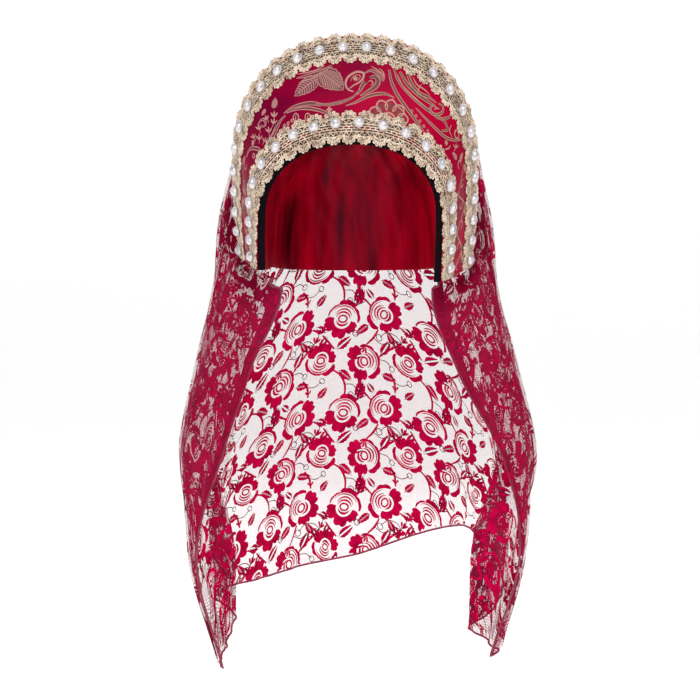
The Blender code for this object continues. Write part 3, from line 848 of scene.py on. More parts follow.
class WrapTree:
    """Geometry Nodes that repeat a flat cell in rows and columns and wrap the result on a charted sheet."""

    KINDS = {"Geometry": "Geometry", "Cell": "Object", "Sheet": "Object", "Columns": "Int", "Rows": "Int",
             "Column Step": "Vector", "Row Step": "Vector", "Start": "Vector", "Lift": "Float",
             "Finish": "Material"}

    def __init__(self) -> None:
        """Builds the node tree."""
        self.tree = bpy.data.node_groups.new("repeat_and_wrap", "GeometryNodeTree")
        face = self.tree.interface
        face.new_socket("Geometry", in_out="OUTPUT", socket_type="NodeSocketGeometry")
        self.ids = {name: face.new_socket(name, in_out="INPUT", socket_type=f"NodeSocket{kind}").identifier
                    for name, kind in self.KINDS.items()}
        self._build()

    def _add(self, kind: str, settings: dict | None = None, **inputs: object) -> bpy.types.bpy_prop_collection:
        """Adds a node and gives its outputs.

        Args:
            kind: The node's type.
            settings: Its own settings, set first.
            inputs: Sockets to link or values, by name with underscores for spaces, or by number after one.

        Returns:
            The node's outputs.
        """
        made = self.tree.nodes.new(kind)
        for name, value in (settings or {}).items():
            setattr(made, name, value)
        for name, value in inputs.items():
            socket = made.inputs[int(name[1:]) if name[0] == "_" else name.replace("_", " ")]
            if isinstance(value, bpy.types.NodeSocket):
                self.tree.links.new(value, socket)
            else:
                socket.default_value = value
        return made.outputs

    def _build(self) -> None:
        """Adds the nodes: repeat, realize, look up the sheet by chart, drop what lies off it, place."""
        given = self.tree.nodes.new("NodeGroupInput").outputs
        cell, sheet = (self._add("GeometryNodeObjectInfo", {"transform_space": "ORIGINAL"}, Object=given[name])
                       ["Geometry"] for name in ("Cell", "Sheet"))
        line = self._add("GeometryNodeMeshLine", {"mode": "OFFSET"}, Count=given["Columns"],
                         Start_Location=given["Start"], Offset=given["Column Step"])[0]
        stack = self._add("GeometryNodeMeshLine", {"mode": "OFFSET"}, Count=given["Rows"],
                          Offset=given["Row Step"])[0]
        row = self._add("GeometryNodeInstanceOnPoints", Points=line, Instance=cell)[0]
        rows = self._add("GeometryNodeInstanceOnPoints", Points=stack, Instance=row)[0]
        real = self._add("GeometryNodeRealizeInstances", Geometry=rows)[0]
        here = self._add("GeometryNodeInputPosition")[0]
        parts = self._add("ShaderNodeSeparateXYZ", _0=here)
        x, y = (self._add("ShaderNodeMath", {"operation": "MULTIPLY_ADD"}, _0=parts[k], _1=1.0 / CHART_SPAN,
                          _2=0.5)[0] for k in (0, 1))
        chart = self._add("ShaderNodeCombineXYZ", _0=x, _1=y)[0]
        uv, out = (self._add("GeometryNodeInputNamedAttribute", VECTOR, Name=name)[0] for name in (UV_NAME, OUTWARD))
        found, facing = (self._add("GeometryNodeSampleUVSurface", VECTOR, Mesh=sheet, Value=value, UV_Map=uv,
                                   Sample_UV=chart) for value in (here, out))
        height = self._add("ShaderNodeMath", {"operation": "ADD"}, _0=parts[2], _1=given["Lift"])[0]
        rise = self._add("ShaderNodeVectorMath", {"operation": "SCALE"}, _0=facing["Value"], Scale=height)[0]
        there = self._add("ShaderNodeVectorMath", {"operation": "ADD"}, _0=found["Value"], _1=rise)[0]
        off = self._add("FunctionNodeBooleanMath", {"operation": "NOT"}, _0=found["Is Valid"])[0]
        kept = self._add("GeometryNodeDeleteGeometry", {"domain": "POINT"}, Geometry=real, Selection=off)[0]
        moved = self._add("GeometryNodeSetPosition", Geometry=kept, Position=there)[0]
        soft = self._add("GeometryNodeSetShadeSmooth", Geometry=moved)[0]
        coated = self._add("GeometryNodeSetMaterial", Geometry=soft, Material=given["Finish"])[0]
        self.tree.links.new(coated, self.tree.nodes.new("NodeGroupOutput").inputs[0])

    def run(self, name: str, cell: FlatWork, sheet: bpy.types.Object, finish: bpy.types.Material,
            lift: float, counts: tuple = (1, 1), steps: tuple = (0.0, 0.0), start: tuple = (0.0, 0.0)
            ) -> bpy.types.Object:
        """Repeats a cell and wraps it, as a plain mesh.

        Args:
            name: The new piece's name.
            cell: The flat cell.
            sheet: The charted sheet.
            finish: The piece's material.
            lift: How far off the sheet the cell's plane lies.
            counts: Repeats along the chart's two lengths.
            steps: The steps between repeats.
            start: Where the first cell lies.

        Returns:
            The piece.
        """
        flat, holder = cell.object(name + "_cell"), new_object(name + "_holder", [], [])
        wrap = holder.modifiers.new("wrap", "NODES")
        wrap.node_group = self.tree
        values = (flat, sheet, *counts, (steps[0], 0.0, 0.0), (0.0, steps[1], 0.0), (*start, 0.0), lift, finish)
        for key, value in zip(list(self.KINDS)[1:], values):
            wrap[self.ids[key]] = value
        evaluated = holder.evaluated_get(bpy.context.evaluated_depsgraph_get())
        mesh = bpy.data.meshes.new_from_object(evaluated)
        mesh.name = name
        made = link(bpy.data.objects.new(name, mesh))
        for spare in (holder, flat):
            bpy.data.objects.remove(spare)
        return dress(made, finish)


# The pieces

class Side(Enum):
    """Which edge of the crescent a trim follows."""

    FACE = "face"
    RIM = "rim"


@dataclass
class Maker:
    """What every sub-assembly shares: the crescent's form, the wrapping nodes and the way that pieces are finished."""

    form: CrescentForm
    wrap: WrapTree

    def finish(self, piece: bpy.types.Object, nodes: Sequence[str], slot: str) -> None:
        """Rides a piece on the hood, hides the solids that it replaces and logs its faces.

        Args:
            piece: The piece.
            nodes: The solids that it replaces.
            slot: The record's material slot; not used.
        """
        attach(piece, BODY)
        if nodes:
            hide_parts(*nodes)
        LOG.info("%s: %d faces", piece.name, len(piece.data.polygons))


@dataclass
class Crescent(Maker):
    """The brocade crescent and the woven figure on it."""

    columns: int = 300
    rows: int = 44
    figure_lift: float = 0.00006
    shade_lift: float = 0.00003
    # The brocade's satin: painted sheen, and a painted side light that is darker at -X and brighter at +X.
    lining: Satin = Satin("brocade_satin", linear(116, 0, 44), linear(182, 0, 52), 0.14, lean=2.2)
    thread: FigureThread = FigureThread("figure_thread", linear(212, 150, 150), linear(200, 152, 130))
    shade: FigureThread = FigureThread("figure_shade", linear(128, 56, 68), linear(112, 62, 58))

    def build(self) -> None:
        """Makes the wall and the figure."""
        share = np.linspace(-1.0, 1.0, self.columns + 1)
        levels = np.linspace(0.0, 1.0, self.rows + 1)[:, None]
        front, back = (self.form.sheet(share, lambda width: levels * width, side * self.form.wall / 2)
                       for side in (1.0, -1.0))
        wall = smooth(walled_object("crescent_brocade", front, back))
        self.finish(dress(wall, self.lining.make()), ["crescent"], "brocade_red")
        run = run_of(front[self.rows // 2])
        run = np.broadcast_to(run - np.interp(0.0, share, run), front.shape[:2])
        chart = np.stack([run, levels * self.form.width_runs(share)[1][-1]], axis=2)
        sheet = sheet_object("crescent_sheet", front)
        add_chart(sheet, chart, self.form.normals(np.tile(share, self.rows + 1), np.repeat(levels, len(share))))
        light, dark = FlatWork(), FlatWork()
        Figure(light, dark, functools.partial(self._place, front, chart)).draw()
        for name, work, thread, lift in (("brocade_figure", light, self.thread, self.figure_lift),
                                         ("brocade_figure_shade", dark, self.shade, self.shade_lift)):
            self.finish(self.wrap.run(name, work, sheet, thread.make(), lift), [], "brocade_red")
        bpy.data.objects.remove(sheet)

    @staticmethod
    def _place(grid: np.ndarray, chart: np.ndarray, seen: np.ndarray) -> np.ndarray:
        """Chart places of points given as seen from the front, all in millimetres.

        Args:
            grid: The wall's outer points.
            chart: Their places on the chart.
            seen: x and z of each point in the front view.

        Returns:
            Two lengths along the cloth for each point.
        """
        flat, found = seen_from_front(grid) / MM, []
        for spot in seen:
            near = ((flat - spot) ** 2).sum(axis=2)
            near[[0, -1]] = near[:, [0, -1]] = np.inf
            r, c = np.unravel_index(np.argmin(near), near.shape)
            (flat_down, flat_along), (down, along) = (
                ((each[r + 1, c] - each[r - 1, c]) / 2, (each[r, c + 1] - each[r, c - 1]) / 2)
                for each in (flat, chart))
            step = np.linalg.solve(np.column_stack([flat_down, flat_along]), spot - flat[r, c])
            step = np.clip(step, -2.0, 2.0)
            found.append((chart[r, c] + (down * step[0] + along * step[1])) / MM)
        return np.array(found)


# The figure, on a flat sketch of the front: x to the right and y down, SKETCH_UNITS to a millimetre.

SKETCH_UNITS = 5.92
SKETCH_CORNER = (-129.5, 100.0)
# Ribbons: the full width, the two ends' shares of it, where it is fullest, then x and y of each point.
RIBBONS = (
    (3.4, 0.15, 0.5, 0.5, 424, 286, 500, 268, 566, 246, 632, 212),
    (2, 0.5, 0.5, 0.5, 1240, 440, 1216, 462, 1222, 492, 1256, 500, 1288, 482, 1290, 452, 1262, 436),
    (3.6, 0.1, 0.8, 0.7, 348, 494, 400, 458, 452, 442, 520, 434, 570, 444),
    (3, 0.1, 0.5, 0.5, 366, 492, 430, 468, 500, 464, 560, 476, 616, 498, 650, 512),
    (3, 0.1, 0.1, 0.6, 716, 448, 770, 430, 830, 398, 890, 380, 950, 378, 1004, 402),
    (3.6, 0.2, 1.3, 0.95, 780, 384, 800, 356, 816, 324, 832, 306),
    (4.2, 0.15, 0.5, 0.6, 800, 388, 852, 362, 894, 332, 906, 300, 888, 276, 858, 284),
    (2.4, 0.2, 0.5, 0.5, 826, 256, 862, 240, 900, 256, 926, 284, 938, 304),
    (3, 0.5, 0.15, 0.5, 972, 236, 984, 300, 1014, 372, 1062, 444, 1112, 512, 1160, 580, 1204, 648),
    (2.8, 0.4, 0.5, 0.5, 1000, 232, 1024, 296, 1066, 352, 1124, 410, 1186, 462, 1250, 508, 1306, 552,
     1318, 590, 1284, 596),
    (3.4, 0.5, 0.2, 0.5, 1034, 246, 1078, 318, 1138, 378, 1202, 424, 1262, 468),
    (3, 0.6, 0.2, 0.5, 1078, 258, 1112, 328, 1152, 374, 1206, 398, 1250, 430),
    (2.4, 0.15, 0.3, 0.5, 1130, 462, 1184, 520, 1244, 580, 1300, 630, 1352, 652, 1404, 648),
    (3.2, 0.2, 0.2, 0.5, 358, 506, 326, 540, 304, 590, 276, 640, 236, 694),
    (1.8, 0.4, 0.5, 0.5, 196, 560, 214, 532, 238, 540, 238, 566, 220, 572),
    (3, 0.3, 0.5, 0.5, 128, 752, 140, 716, 176, 700, 208, 722, 206, 760, 178, 770),
)
# Plain strokes: the full width, then x and y of each point. The first is the outline of the crown's paisley.
LINES = (
    (2.2, 760, 364, 732, 354, 714, 322, 722, 288, 748, 262, 788, 247, 820, 257, 818, 284, 795, 309, 762, 327,
     738, 346),
    (1.4, 428, 262, 494, 250, 548, 234, 590, 212), (1.6, 500, 296, 536, 276, 566, 262),
    (1.3, 436, 316, 470, 300, 520, 288), (0.8, 744, 306, 752, 284, 778, 266, 800, 270, 796, 288, 768, 306),
    (1, 1236, 474, 1256, 462, 1272, 468), (1.3, 846, 306, 866, 300, 876, 314, 862, 330),
    (1.5, 866, 216, 904, 238, 936, 270, 944, 296), (1.2, 914, 226, 938, 254, 946, 282),
    (1.3, 1020, 262, 1052, 328, 1104, 388, 1166, 440, 1230, 486), (1.5, 1112, 280, 1140, 326, 1180, 352, 1214, 386),
    (1, 1140, 386, 1150, 340, 1164, 322), (1.4, 990, 404, 1024, 452, 1058, 486, 1078, 520),
    (1.2, 1340, 560, 1330, 600, 1346, 636), (1.2, 300, 560, 282, 610, 250, 650),
    (1, 420, 540, 418, 518, 422, 502), (1, 490, 540, 488, 518, 492, 502),
    (1.1, 1222, 640, 1262, 690, 1300, 730, 1334, 784), (1.6, 1300, 706, 1324, 700, 1334, 684),
)
ROPES = (
    (3.6, 540, 436, 600, 442, 660, 434, 720, 416, 764, 392, 782, 370),
    (3, 1250, 520, 1290, 526, 1330, 512, 1340, 494),
)
# Leaves: x and y of the base and of the tip, the width and the hatching lines on each side.
VINE_LEAVES = (
    (560, 250, 702, 354, 23, 13), (548, 286, 412, 392, 17, 9), (292, 462, 296, 402, 6.5, 7),
    (240, 470, 218, 505, 4.5, 5), (1392, 776, 1406, 728, 4.6, 6), (1372, 764, 1346, 724, 4.2, 6),
)
# Tulips: x and y, the direction and the length.
TULIPS = (
    (292, 516, 92, 6.5), (286, 556, 80, 6), (262, 606, 100, 6), (206, 590, 110, 6), (204, 650, 95, 6),
    (232, 662, 70, 5), (176, 640, 120, 5), (252, 530, 120, 5), (1364, 700, 80, 5),
)
# Rings: x and y, the radius, the width of the line and the second radius as a share of the first.
RINGS = (
    (352, 566, 1.3, 1.1, 1), (374, 552, 1.3, 1.1, 1), (372, 574, 1.3, 1.1, 1), (350, 588, 1.3, 1.1, 1),
    (330, 612, 1.3, 1.1, 1), (396, 536, 1.3, 1.1, 1), (420, 516, 3, 1.1, 1.35), (490, 516, 3, 1.1, 1.35),
    (170, 744, 2, 1.3, 1), (1372, 618, 3.6, 1.5, 1),
)
BLOSSOMS = ((772, 287, 2.4), (166, 668, 2.8), (226, 716, 2.6), (1310, 668, 2.4))
RING_CHAIN = (1106, 480, 1138, 516, 1166, 556, 1196, 592, 1230, 640, 1256, 690, 1276, 740)
DIAMOND = (617, 472)
SHELL, SHELL_SIZE = (964, 545), 22.5
# A petal of the shell: its outline's places, as shares of the shell's radius and of the petal's half width.
HOOD = ((0.50, -0.55), (0.68, -0.95), (0.90, -0.80), (1.04, 0), (0.90, 0.80), (0.68, 0.95), (0.50, 0.55))


@dataclass
class Figure:
    """Draws the brocade's figure: leaves, paisleys, scrolls, a shell, stems and sprigs, in pink and gold thread."""

    light: FlatWork
    dark: FlatWork
    place: Callable
    crown: float = 0.22
    edge: float = 0.85

    def draw(self) -> None:
        """Draws every motif on the crown, then the sprigs down the sides."""
        for width, start, end, full, *sketch in RIBBONS:
            self._ribbon(sketch, width, (start, end), full)
        for k, (width, *sketch) in enumerate(LINES):
            self._line(sketch, width, (0.35, 0.35) if k else (0.6, 0.5))
        for width, *sketch in ROPES:
            self._rope(sketch, width)
        for *ends, width, slats in VINE_LEAVES:
            self._leaf(ends, width, slats)
        for x, y, turn, size in TULIPS:
            self._tulip((x, y), turn, size)
        for x, y, radius, width, flat in RINGS:
            self.light.arc(self._spots((x, y))[0], radius, 0, 360, width, (1, 1), flat, 0, self.crown, 1.1)
        for x, y, size in BLOSSOMS:
            middle = self._spots((x, y))[0]
            self._star(middle, size, 5, size * 0.75, turn=math.degrees(0.4))
            self.dark.disc(middle, size * 0.3, 8, 0.3)
        self._star(self._spots(DIAMOND)[0], 3.4, 4, 2.72, 0.1, full=0.5)
        self._shell()
        chain = self._spots(RING_CHAIN)
        run = run_of(chain)
        for spot in smooth_through(run, chain, np.arange(0, run[-1], 6.4)):
            self.light.arc(spot, 1.25, 0, 360, 0.8, (1, 1), 1, 0, self.crown, 0.9)
        for side in (-1, 1):
            self._side_sprigs(side)

    def _spots(self, sketch: Sequence) -> np.ndarray:
        """Chart places of points on the sketch."""
        points = np.asarray(sketch, float).reshape(-1, 2) / SKETCH_UNITS
        return self.place(np.column_stack([points[:, 0] + SKETCH_CORNER[0], SKETCH_CORNER[1] - points[:, 1]]))

    def _line(self, sketch: Sequence, width: float, ends: tuple) -> None:
        """A light stroke."""
        self.light.stroke(self._spots(sketch), width, ends, 1.3, self.crown)

    def _ribbon(self, sketch: Sequence, width: float, ends: tuple, full: float) -> None:
        """A shaded ribbon with a light line on each edge.

        Args:
            sketch: The points of its middle.
            width: Its width where it is fullest.
            ends: Its width at its two ends, as shares.
            full: The share of its length at which it is fullest.
        """
        spine = self._spots(sketch)
        self.dark.stroke(spine, width, ends, 1.3, 0.1, full)
        line, side, half = self.light.course(spine, width, ends, 2.2, full)
        for sign in (-1, 1):
            self.light.stroke(line + side * (half * sign)[:, None], self.edge, (0.6, 0.6), 1.5, self.crown)

    def _rope(self, sketch: Sequence, width: float) -> None:
        """A shaded stroke crossed by short slanted light strokes."""
        spine = self._spots(sketch)
        self.dark.stroke(spine, width, (0.5, 0.3), 1.3, 0.1)
        line, side, half = self.light.course(spine, width, (0.5, 0.3), 1.5)
        for spot, reach in zip(line, side * half[:, None] * 1.1 + unit(np.gradient(line, axis=0)) * 0.7):
            self.light.stroke([spot - reach, spot + reach], 0.75, (0.7, 0.7), 2.5, self.crown)

    def _leaf(self, ends: Sequence, width: float, slats: int) -> None:
        """A toothed leaf: slanted hatching and a light outline on a shaded ground.

        Args:
            ends: x and y of its base and of its tip.
            width: Its full width in millimetres.
            slats: Hatching lines on each side.
        """
        start, end = self._spots(ends)
        length = float(np.linalg.norm(end - start))
        ahead = (end - start) / length
        out = np.array([-ahead[1], ahead[0]])
        self.dark.leaf(start, math.degrees(math.atan2(ahead[1], ahead[0])), length, width, 6, 0.1, 0.08)
        self.light.stroke([start, end], 0.8, (0.8, 0.4), 2.5, self.crown)
        share = np.linspace(0, 1, 13)
        rim = width / 2 * leaf_swell(share) * (1.0 - 0.10 * (np.arange(13) % 2))
        along = np.arange(1, slats) / slats * 0.94
        reaches = width / 2 * leaf_swell(along) * 0.84
        for side in (-1, 1):
            edge = start + np.outer(share * length, ahead) + np.outer(rim * side, out)
            self.light.stroke(edge, 0.8, (0.5, 0.5), 1.6, self.crown)
            for at, reach in zip(along, reaches):
                root, over, on = start + ahead * at * length * 0.92, out * side * reach, ahead * reach * 0.5
                slat = [root, root + over * 0.5 + on * 0.32, root + over + on]
                self.light.stroke(slat, 0.95, (0.7, 0.5), 2, self.crown)

    def _star(self, middle: np.ndarray, size: float, petals: int, width: float, tip: float = 0.8,
              step: float = 1.0, full: float = 0.75, turn: float = 0.0) -> None:
        """Petals round a middle.

        Args:
            middle: Their middle on the chart.
            size: A petal's length.
            petals: How many there are.
            width: A petal's full width.
            tip: Its width at its tip, as a share.
            step: The length of a segment.
            full: The share of its length at which it is fullest.
            turn: The first petal's direction.
        """
        for k in range(petals):
            spine = [middle, middle + polar(360 * k / petals + turn, size)]
            self.light.stroke(spine, width, (0.3, tip), step, self.crown, full)

    def _shell(self) -> None:
        """A fluted flower: hooded petals with dark flutes, round a light heart."""
        middle = self._spots(SHELL)[0]
        for lean in (-8 + 196 * k / 6 for k in range(7)):
            out, over = polar(lean, SHELL_SIZE), polar(lean + 90, SHELL_SIZE * 0.27)
            root = middle + out * 0.5
            self.light.stroke([middle + out * a + over * b for a, b in HOOD], 1.7, (0.6, 0.6), 1.3, self.crown)
            for shift in (-0.42, 0, 0.42):
                flute = [root + over * shift * 0.5, root + out * 0.4 + over * shift]
                self.dark.stroke(flute, 1.5, (0.4, 0.8), 1.5, 0.1, 0.7)
        for reach, width in ((0.12, 3.4), (0.27, 2.6), (0.42, 2)):
            self.light.arc(middle, SHELL_SIZE * reach, -10, 190, width, (0.7, 0.7), 1, 0, self.crown)

    def _tulip(self, base: Sequence, turn: float, size: float) -> None:
        """A small tulip of three petals on a stalk.

        Args:
            base: Where its petals meet, on the sketch.
            turn: The way that it points, in degrees from the right, as seen.
            size: Its length in millimetres.
        """
        scale = np.array([SKETCH_UNITS, -SKETCH_UNITS]) * size
        for lean, share in ((-40, 0.9), (0, 1), (40, 0.9)):
            petal = [base, base + polar(turn + lean, 0.5) * scale, base + polar(turn + lean * 0.9, share) * scale]
            self._line(petal, size * 0.3, (0.2, 0.15))
        self._line([base, base + polar(turn + 168, 0.7) * scale], 0.8, (0.35, 0.35))

    def _side_sprigs(self, side: int) -> None:
        """A wandering stem with leaves and blossoms down one side, placed along the cloth in millimetres."""
        stem = [(side * (150.0 + 20.0 * k), 44.0 + 8.0 * (-1) ** k) for k in range(8)]
        self.light.stroke(stem, 1.6, (0.4, 0.4), 1.6, self.crown)
        for k, (x, y) in enumerate(stem[:-1]):
            sway = (-1) ** k
            self.dark.leaf((x, y), side * (63 * sway + 20), 13, 7, 4, 0.2, 0.1)
            self.light.leaf((x + 1, y), side * (63 * sway - 40), 12, 5, 4, 0.8, self.crown)
            self._star(np.array([x + side * 10, y + 8 * sway]), 4.2, 6, 2.6, step=1.4, full=0.7)
            curl = (x - side * 5, y - 9 * sway)
            self.light.arc(curl, 3.4, 40, 320, 1.3, (0.3, 0.6), 1, 90 * k, self.crown)


@dataclass
class Trim(Maker):
    """A guipure trim with its row of pearls, over a dark sheet of painted shade."""

    side: Side = Side.FACE
    pearls: int = 20
    middle: float = -0.0045
    end_margin: float = 0.0115
    pearl_spread: float = 0.09
    drop: float = 0.0035
    low_edge: float = 0.0012
    half_width: float = 0.0170
    overhang: float = 0.0030
    seam_gap: float = 0.0003
    painted_shade_lift: float = 0.0001
    scallop_pitch: float = 0.0160
    pearl_radius: float = 0.0056
    pearl_height: float = 0.0058
    trim_wall: float = 0.0015
    columns: int = 420

    def build(self, lace: bpy.types.Material, painted_shade: bpy.types.Material, coat: bpy.types.Material) -> None:
        """Makes the lace, a dark sheet of painted shade under its holes, and the pearls.

        Args:
            lace: The guipure's material.
            painted_shade: The material of the painted shade under the holes.
            coat: The pearls' material.
        """
        sheet, share, run = self._sheet()
        length, name = float(run[-1]), self.side.value
        scallops = round(length / self.scallop_pitch)
        pitch = length / scallops
        for piece, cell, thread, lift, nodes in (
            (f"{name}_guipure", self._cell(pitch / MM), lace, self.seam_gap, [f"{name}_trim"]),
            # A dark sheet of painted shade under the lace's holes.
            (f"{name}_trim_ground", self._painted_shade_cell(pitch / MM), painted_shade, self.painted_shade_lift, []),
        ):
            made = self.wrap.run(piece, cell, sheet, thread, lift, (scallops, 1), (pitch, 0.0))
            self.finish(made, nodes, "guipure_gold")
        domes, each_side = FlatWork(), self.pearls // 2
        steps = (np.arange(each_side) + 0.5) / (each_side - 0.5)
        spread = steps * (1.0 + self.pearl_spread) - self.pearl_spread * steps**3
        middle = float(np.interp(0.0, share, run)) + self.middle
        for reach in (middle - self.end_margin, middle + self.end_margin - length):
            for at in middle - spread * reach:
                place = (at / MM, self._drop(np.interp(at, run, share)) / MM)
                domes.dome(place, self.pearl_radius / MM, self.pearl_height / MM)
        row = self.wrap.run(f"{name}_pearls", domes, sheet, coat, self.trim_wall + self.seam_gap)
        self.finish(row, [f"{name}_pearl_{number:02d}" for number in range(1, self.pearls + 1)], "pearl_white")
        bpy.data.objects.remove(sheet)

    def _drop(self, share: np.ndarray) -> np.ndarray:
        """How far the trim's middle lies below its pearls."""
        if self.side is Side.RIM:
            return np.zeros_like(share)
        return self.low_edge + self.drop * (1.0 - share**2) ** 2

    def _sheet(self) -> tuple[bpy.types.Object, np.ndarray, np.ndarray]:
        """The sheet that the trim lies on, charted along its middle line, with the shares and run of its columns."""
        share = np.linspace(-1.0, 1.0, self.columns + 1)
        inset = self.half_width - self.overhang
        margin = self.half_width + 0.001
        offsets = np.linspace(-margin, margin, 13)[:, None]

        def distances(width: np.ndarray) -> np.ndarray:
            """Distances from the face edge for each row of the sheet."""
            middle = width - inset if self.side is Side.RIM else inset
            return middle - self._drop(share) + offsets

        grid = self.form.sheet(share, distances, self.form.wall / 2)
        run = run_of(grid[len(offsets) // 2])
        sheet = sheet_object(f"{self.side.value}_sheet", grid)
        add_chart(sheet, np.stack(np.broadcast_arrays(run, offsets), axis=2), sheet_normals(grid))
        return sheet, share, run

    def _cell(self, pitch: float) -> FlatWork:
        """One scallop of the trim and its stretch of ladder, in millimetres."""
        cell, thread = FlatWork(), (1.2, 1.3, 3.0)
        for y, sway in ((-3.7, 0.25), (-1.25, -0.15), (1.25, 0.15), (3.7, -0.25)):
            cell.cord([(pitch * k / 6, y + sway * (-1) ** k) for k in range(7)], 1.25, 1.2, 1.9)
        for k in range(3):
            x = pitch * (k + 0.5) / 3
            cell.cord([(x, -1.25), (x, 1.25)], *thread)
            x += pitch / 6 if k < 2 else -pitch / 2
            for sign in (-1, 1):
                cell.cord([(x, sign * 1.25), (x, sign * 3.7)], *thread)
        for sign in (-1, 1):
            self._fan(cell, pitch, sign)
        return cell

    def _painted_shade_cell(self, pitch: float) -> FlatWork:
        """A dark sheet of painted shade under one scallop, in millimetres, narrower than the lace."""
        work, xs = FlatWork(), np.linspace(0.0, pitch, 7)
        reach = 10.6 + 3.4 * np.sin(math.pi * xs / pitch)
        work.strip(np.array([raised(np.column_stack([xs, reach * k])) for k in (-1.0, -0.4, 0.4, 1.0)]))
        return work

    def _fan(self, cell: FlatWork, pitch: float, sign: int) -> None:
        """The mesh and the fan on one side of the ladder.

        Args:
            cell: The drawing.
            pitch: The scallop's width.
            sign: 1 towards the rim, -1 towards the face edge.
        """
        low, high, flip = 3.9, 8.3, np.array([1, sign])
        zigzag = [(pitch * k / 6, sign * (high - 0.5 if k % 2 else low)) for k in range(7)]
        for pair in zip(zigzag, zigzag[1:]):
            cell.cord(pair, 1.0, 1.2, 4.5)
        beam = [(pitch * k / 6, sign * (high - 0.7 * math.cos(math.pi * k / 3))) for k in range(7)]
        cell.cord(beam, 1.35, 1.3, 1.9)
        hub = np.array([pitch / 2, sign * (high + 0.2)])
        for ray in polar(np.linspace(8, 172, 6)) * flip:
            cell.cord([hub + ray * 1.1, hub + ray * 4.9], 1.0, 1.2, 4.2)
        cell.cord(hub + polar(np.linspace(0, 180, 6), 1.3) * flip, 1.1, 1.2, 1.2)
        cell.cord(hub + polar(np.linspace(-6, 186, 9), 5.0) * flip, 1.35, 1.45, 1.5)
        for ray in polar(np.linspace(12, 168, 6)):
            picot = hub + ray * flip * (6.1 + 1.3 * ray[1])
            cell.cord(picot + polar(np.linspace(0, 360, 9), 1.25), 1.65, 1.25, 1.15, True)


@dataclass
class FaceBinding(Maker):
    """The black tape that binds the edge of the face opening."""

    width: float = 0.0052
    depth: float = 0.0085
    seam_gap: float = 0.0003
    columns: int = 260
    sides: int = 14
    pucker: float = 0.00022
    stitches: int = 90
    tucked_in: float = 0.0030
    set_back: float = 0.0030
    squareness: float = 0.7

    def build(self) -> None:
        """Sweeps a rounded section along the face edge."""
        share = np.linspace(-1.0, 1.0, self.columns + 1)
        edge, away = self.form.face_edge(share)
        away, inset = away[:, None], self.form.wall / 2 + self.seam_gap + self.width / 2
        section = polar(360 * np.arange(self.sides) / self.sides)
        section = np.sign(section) * np.abs(section) ** self.squareness
        out, back = section[:, :1] * self.width / 2, section[:, 1] * self.depth / 2
        shrink = 1.0 - self.pucker / self.width * 2 * (1 + np.cos(share * self.stitches * math.pi))
        tube = edge[:, None] - away * inset + away * (out * shrink[:, None, None])
        tube = tube + away * (self.tucked_in * np.maximum(out / self.width * 2, 0.0))
        tube[..., 1] += self.set_back + back
        tape = weld(new_object("face_tape", tube.reshape(-1, 3), tube_faces(len(share), self.sides)))
        self.finish(dress(smooth(tape), RibbedTape().make()), ["face_binding"], "binding_black")


@dataclass
class SatinCap(Maker):
    """The satin cap: a smooth wall with soft upright puckers."""

    wall: float = 0.0020
    half_width: float = 0.0810
    back_reach: float = 0.0880
    pivot_y: float = 0.0120
    low_z: float = -0.1370
    top_z: float = 0.0012
    roundness: float = 2.35
    columns: int = 160
    front_rows: int = 26
    back_rows: int = 60
    pucker: float = 0.0014
    # The cap's satin: painted sheen and shade in upright streaks, from near black to bright red.
    satin: Satin = Satin("cap_satin", linear(52, 0, 12), linear(190, 0, 34), roughness=0.30, grain=(52.0, 30.0, 7.0))

    def build(self) -> None:
        """Makes the cap's wall."""
        grid = self._middle()
        normal = sheet_normals(grid)
        normal *= np.sign((normal * (grid - np.array([0.0, 0.0, -0.08]))).sum(axis=2, keepdims=True))
        wave = self._puckers(grid)
        outer, inner = (grid + normal * (wave + side * self.wall / 2)[..., None] for side in (1.0, -1.0))
        cap = smooth(walled_object("cap_satin_wall", outer, inner))
        self.finish(dress(cap, self.satin.make()), ["satin_cap"], "satin_red")

    def _round(self, value: np.ndarray) -> np.ndarray:
        """The superellipse's version of a sine or cosine."""
        return np.sign(value) * np.abs(value) ** (2.0 / self.roundness)

    def _middle(self) -> np.ndarray:
        """The cap's middle surface, from its front edge to the back of its lower edge."""
        share = np.linspace(-1.0, 1.0, self.columns + 1)
        side = self._round(np.sin(share * math.pi / 2)) * self.half_width
        rise = (self.top_z - self.low_z) * np.maximum(self._round(np.cos(share * math.pi / 2)), 0.0)
        edge, away = self.form.face_edge(share)
        gap = FaceBinding.seam_gap
        front = edge - away * (self.form.wall / 2 + gap + FaceBinding.width / 2)
        front[:, 1] += FaceBinding.set_back + FaceBinding.depth / 2 + 2 * gap
        crown = np.stack([side, np.full(len(share), self.pivot_y), self.low_z + rise], axis=1)
        rows = []
        for blend in np.linspace(0.0, 1.0, self.front_rows, endpoint=False):
            ease = np.array([blend * (2.0 - blend), blend, blend * (2.0 - blend)])
            rows.append(front + (crown - front) * ease)
        reach = self.back_reach * rise / (self.top_z - self.low_z)
        for lean in np.linspace(math.pi / 2, 0.0, self.back_rows + 1):
            back, up = self._round(np.array([math.cos(lean), math.sin(lean)]))
            rows.append(np.stack([side, self.pivot_y + reach * back, self.low_z + rise * up], axis=1))
        return np.array(rows)

    def _puckers(self, grid: np.ndarray) -> np.ndarray:
        """Soft puckers in the satin, from a few waves that fade at its edges."""
        x, y, z = (grid[..., k] / MM for k in range(3))
        wave = (np.sin(0.23 * x + 0.17 * y + 0.04 * z) * np.sin(0.05 * z + 0.03 * y + 1.0)
                + 0.6 * np.sin(0.37 * x - 0.21 * y + 0.06 * z + 0.8) * np.sin(0.04 * z + 0.02 * x + 2.0))
        row = np.linspace(0.0, 1.0, grid.shape[0])[:, None]
        column = np.linspace(-1.0, 1.0, grid.shape[1])
        fade = np.clip(row * 12, 0, 1) * np.clip((1 - row) * 12, 0, 1) * np.clip((1 - column**2) * 8, 0, 1)
        return self.pucker * 0.5 * wave * fade


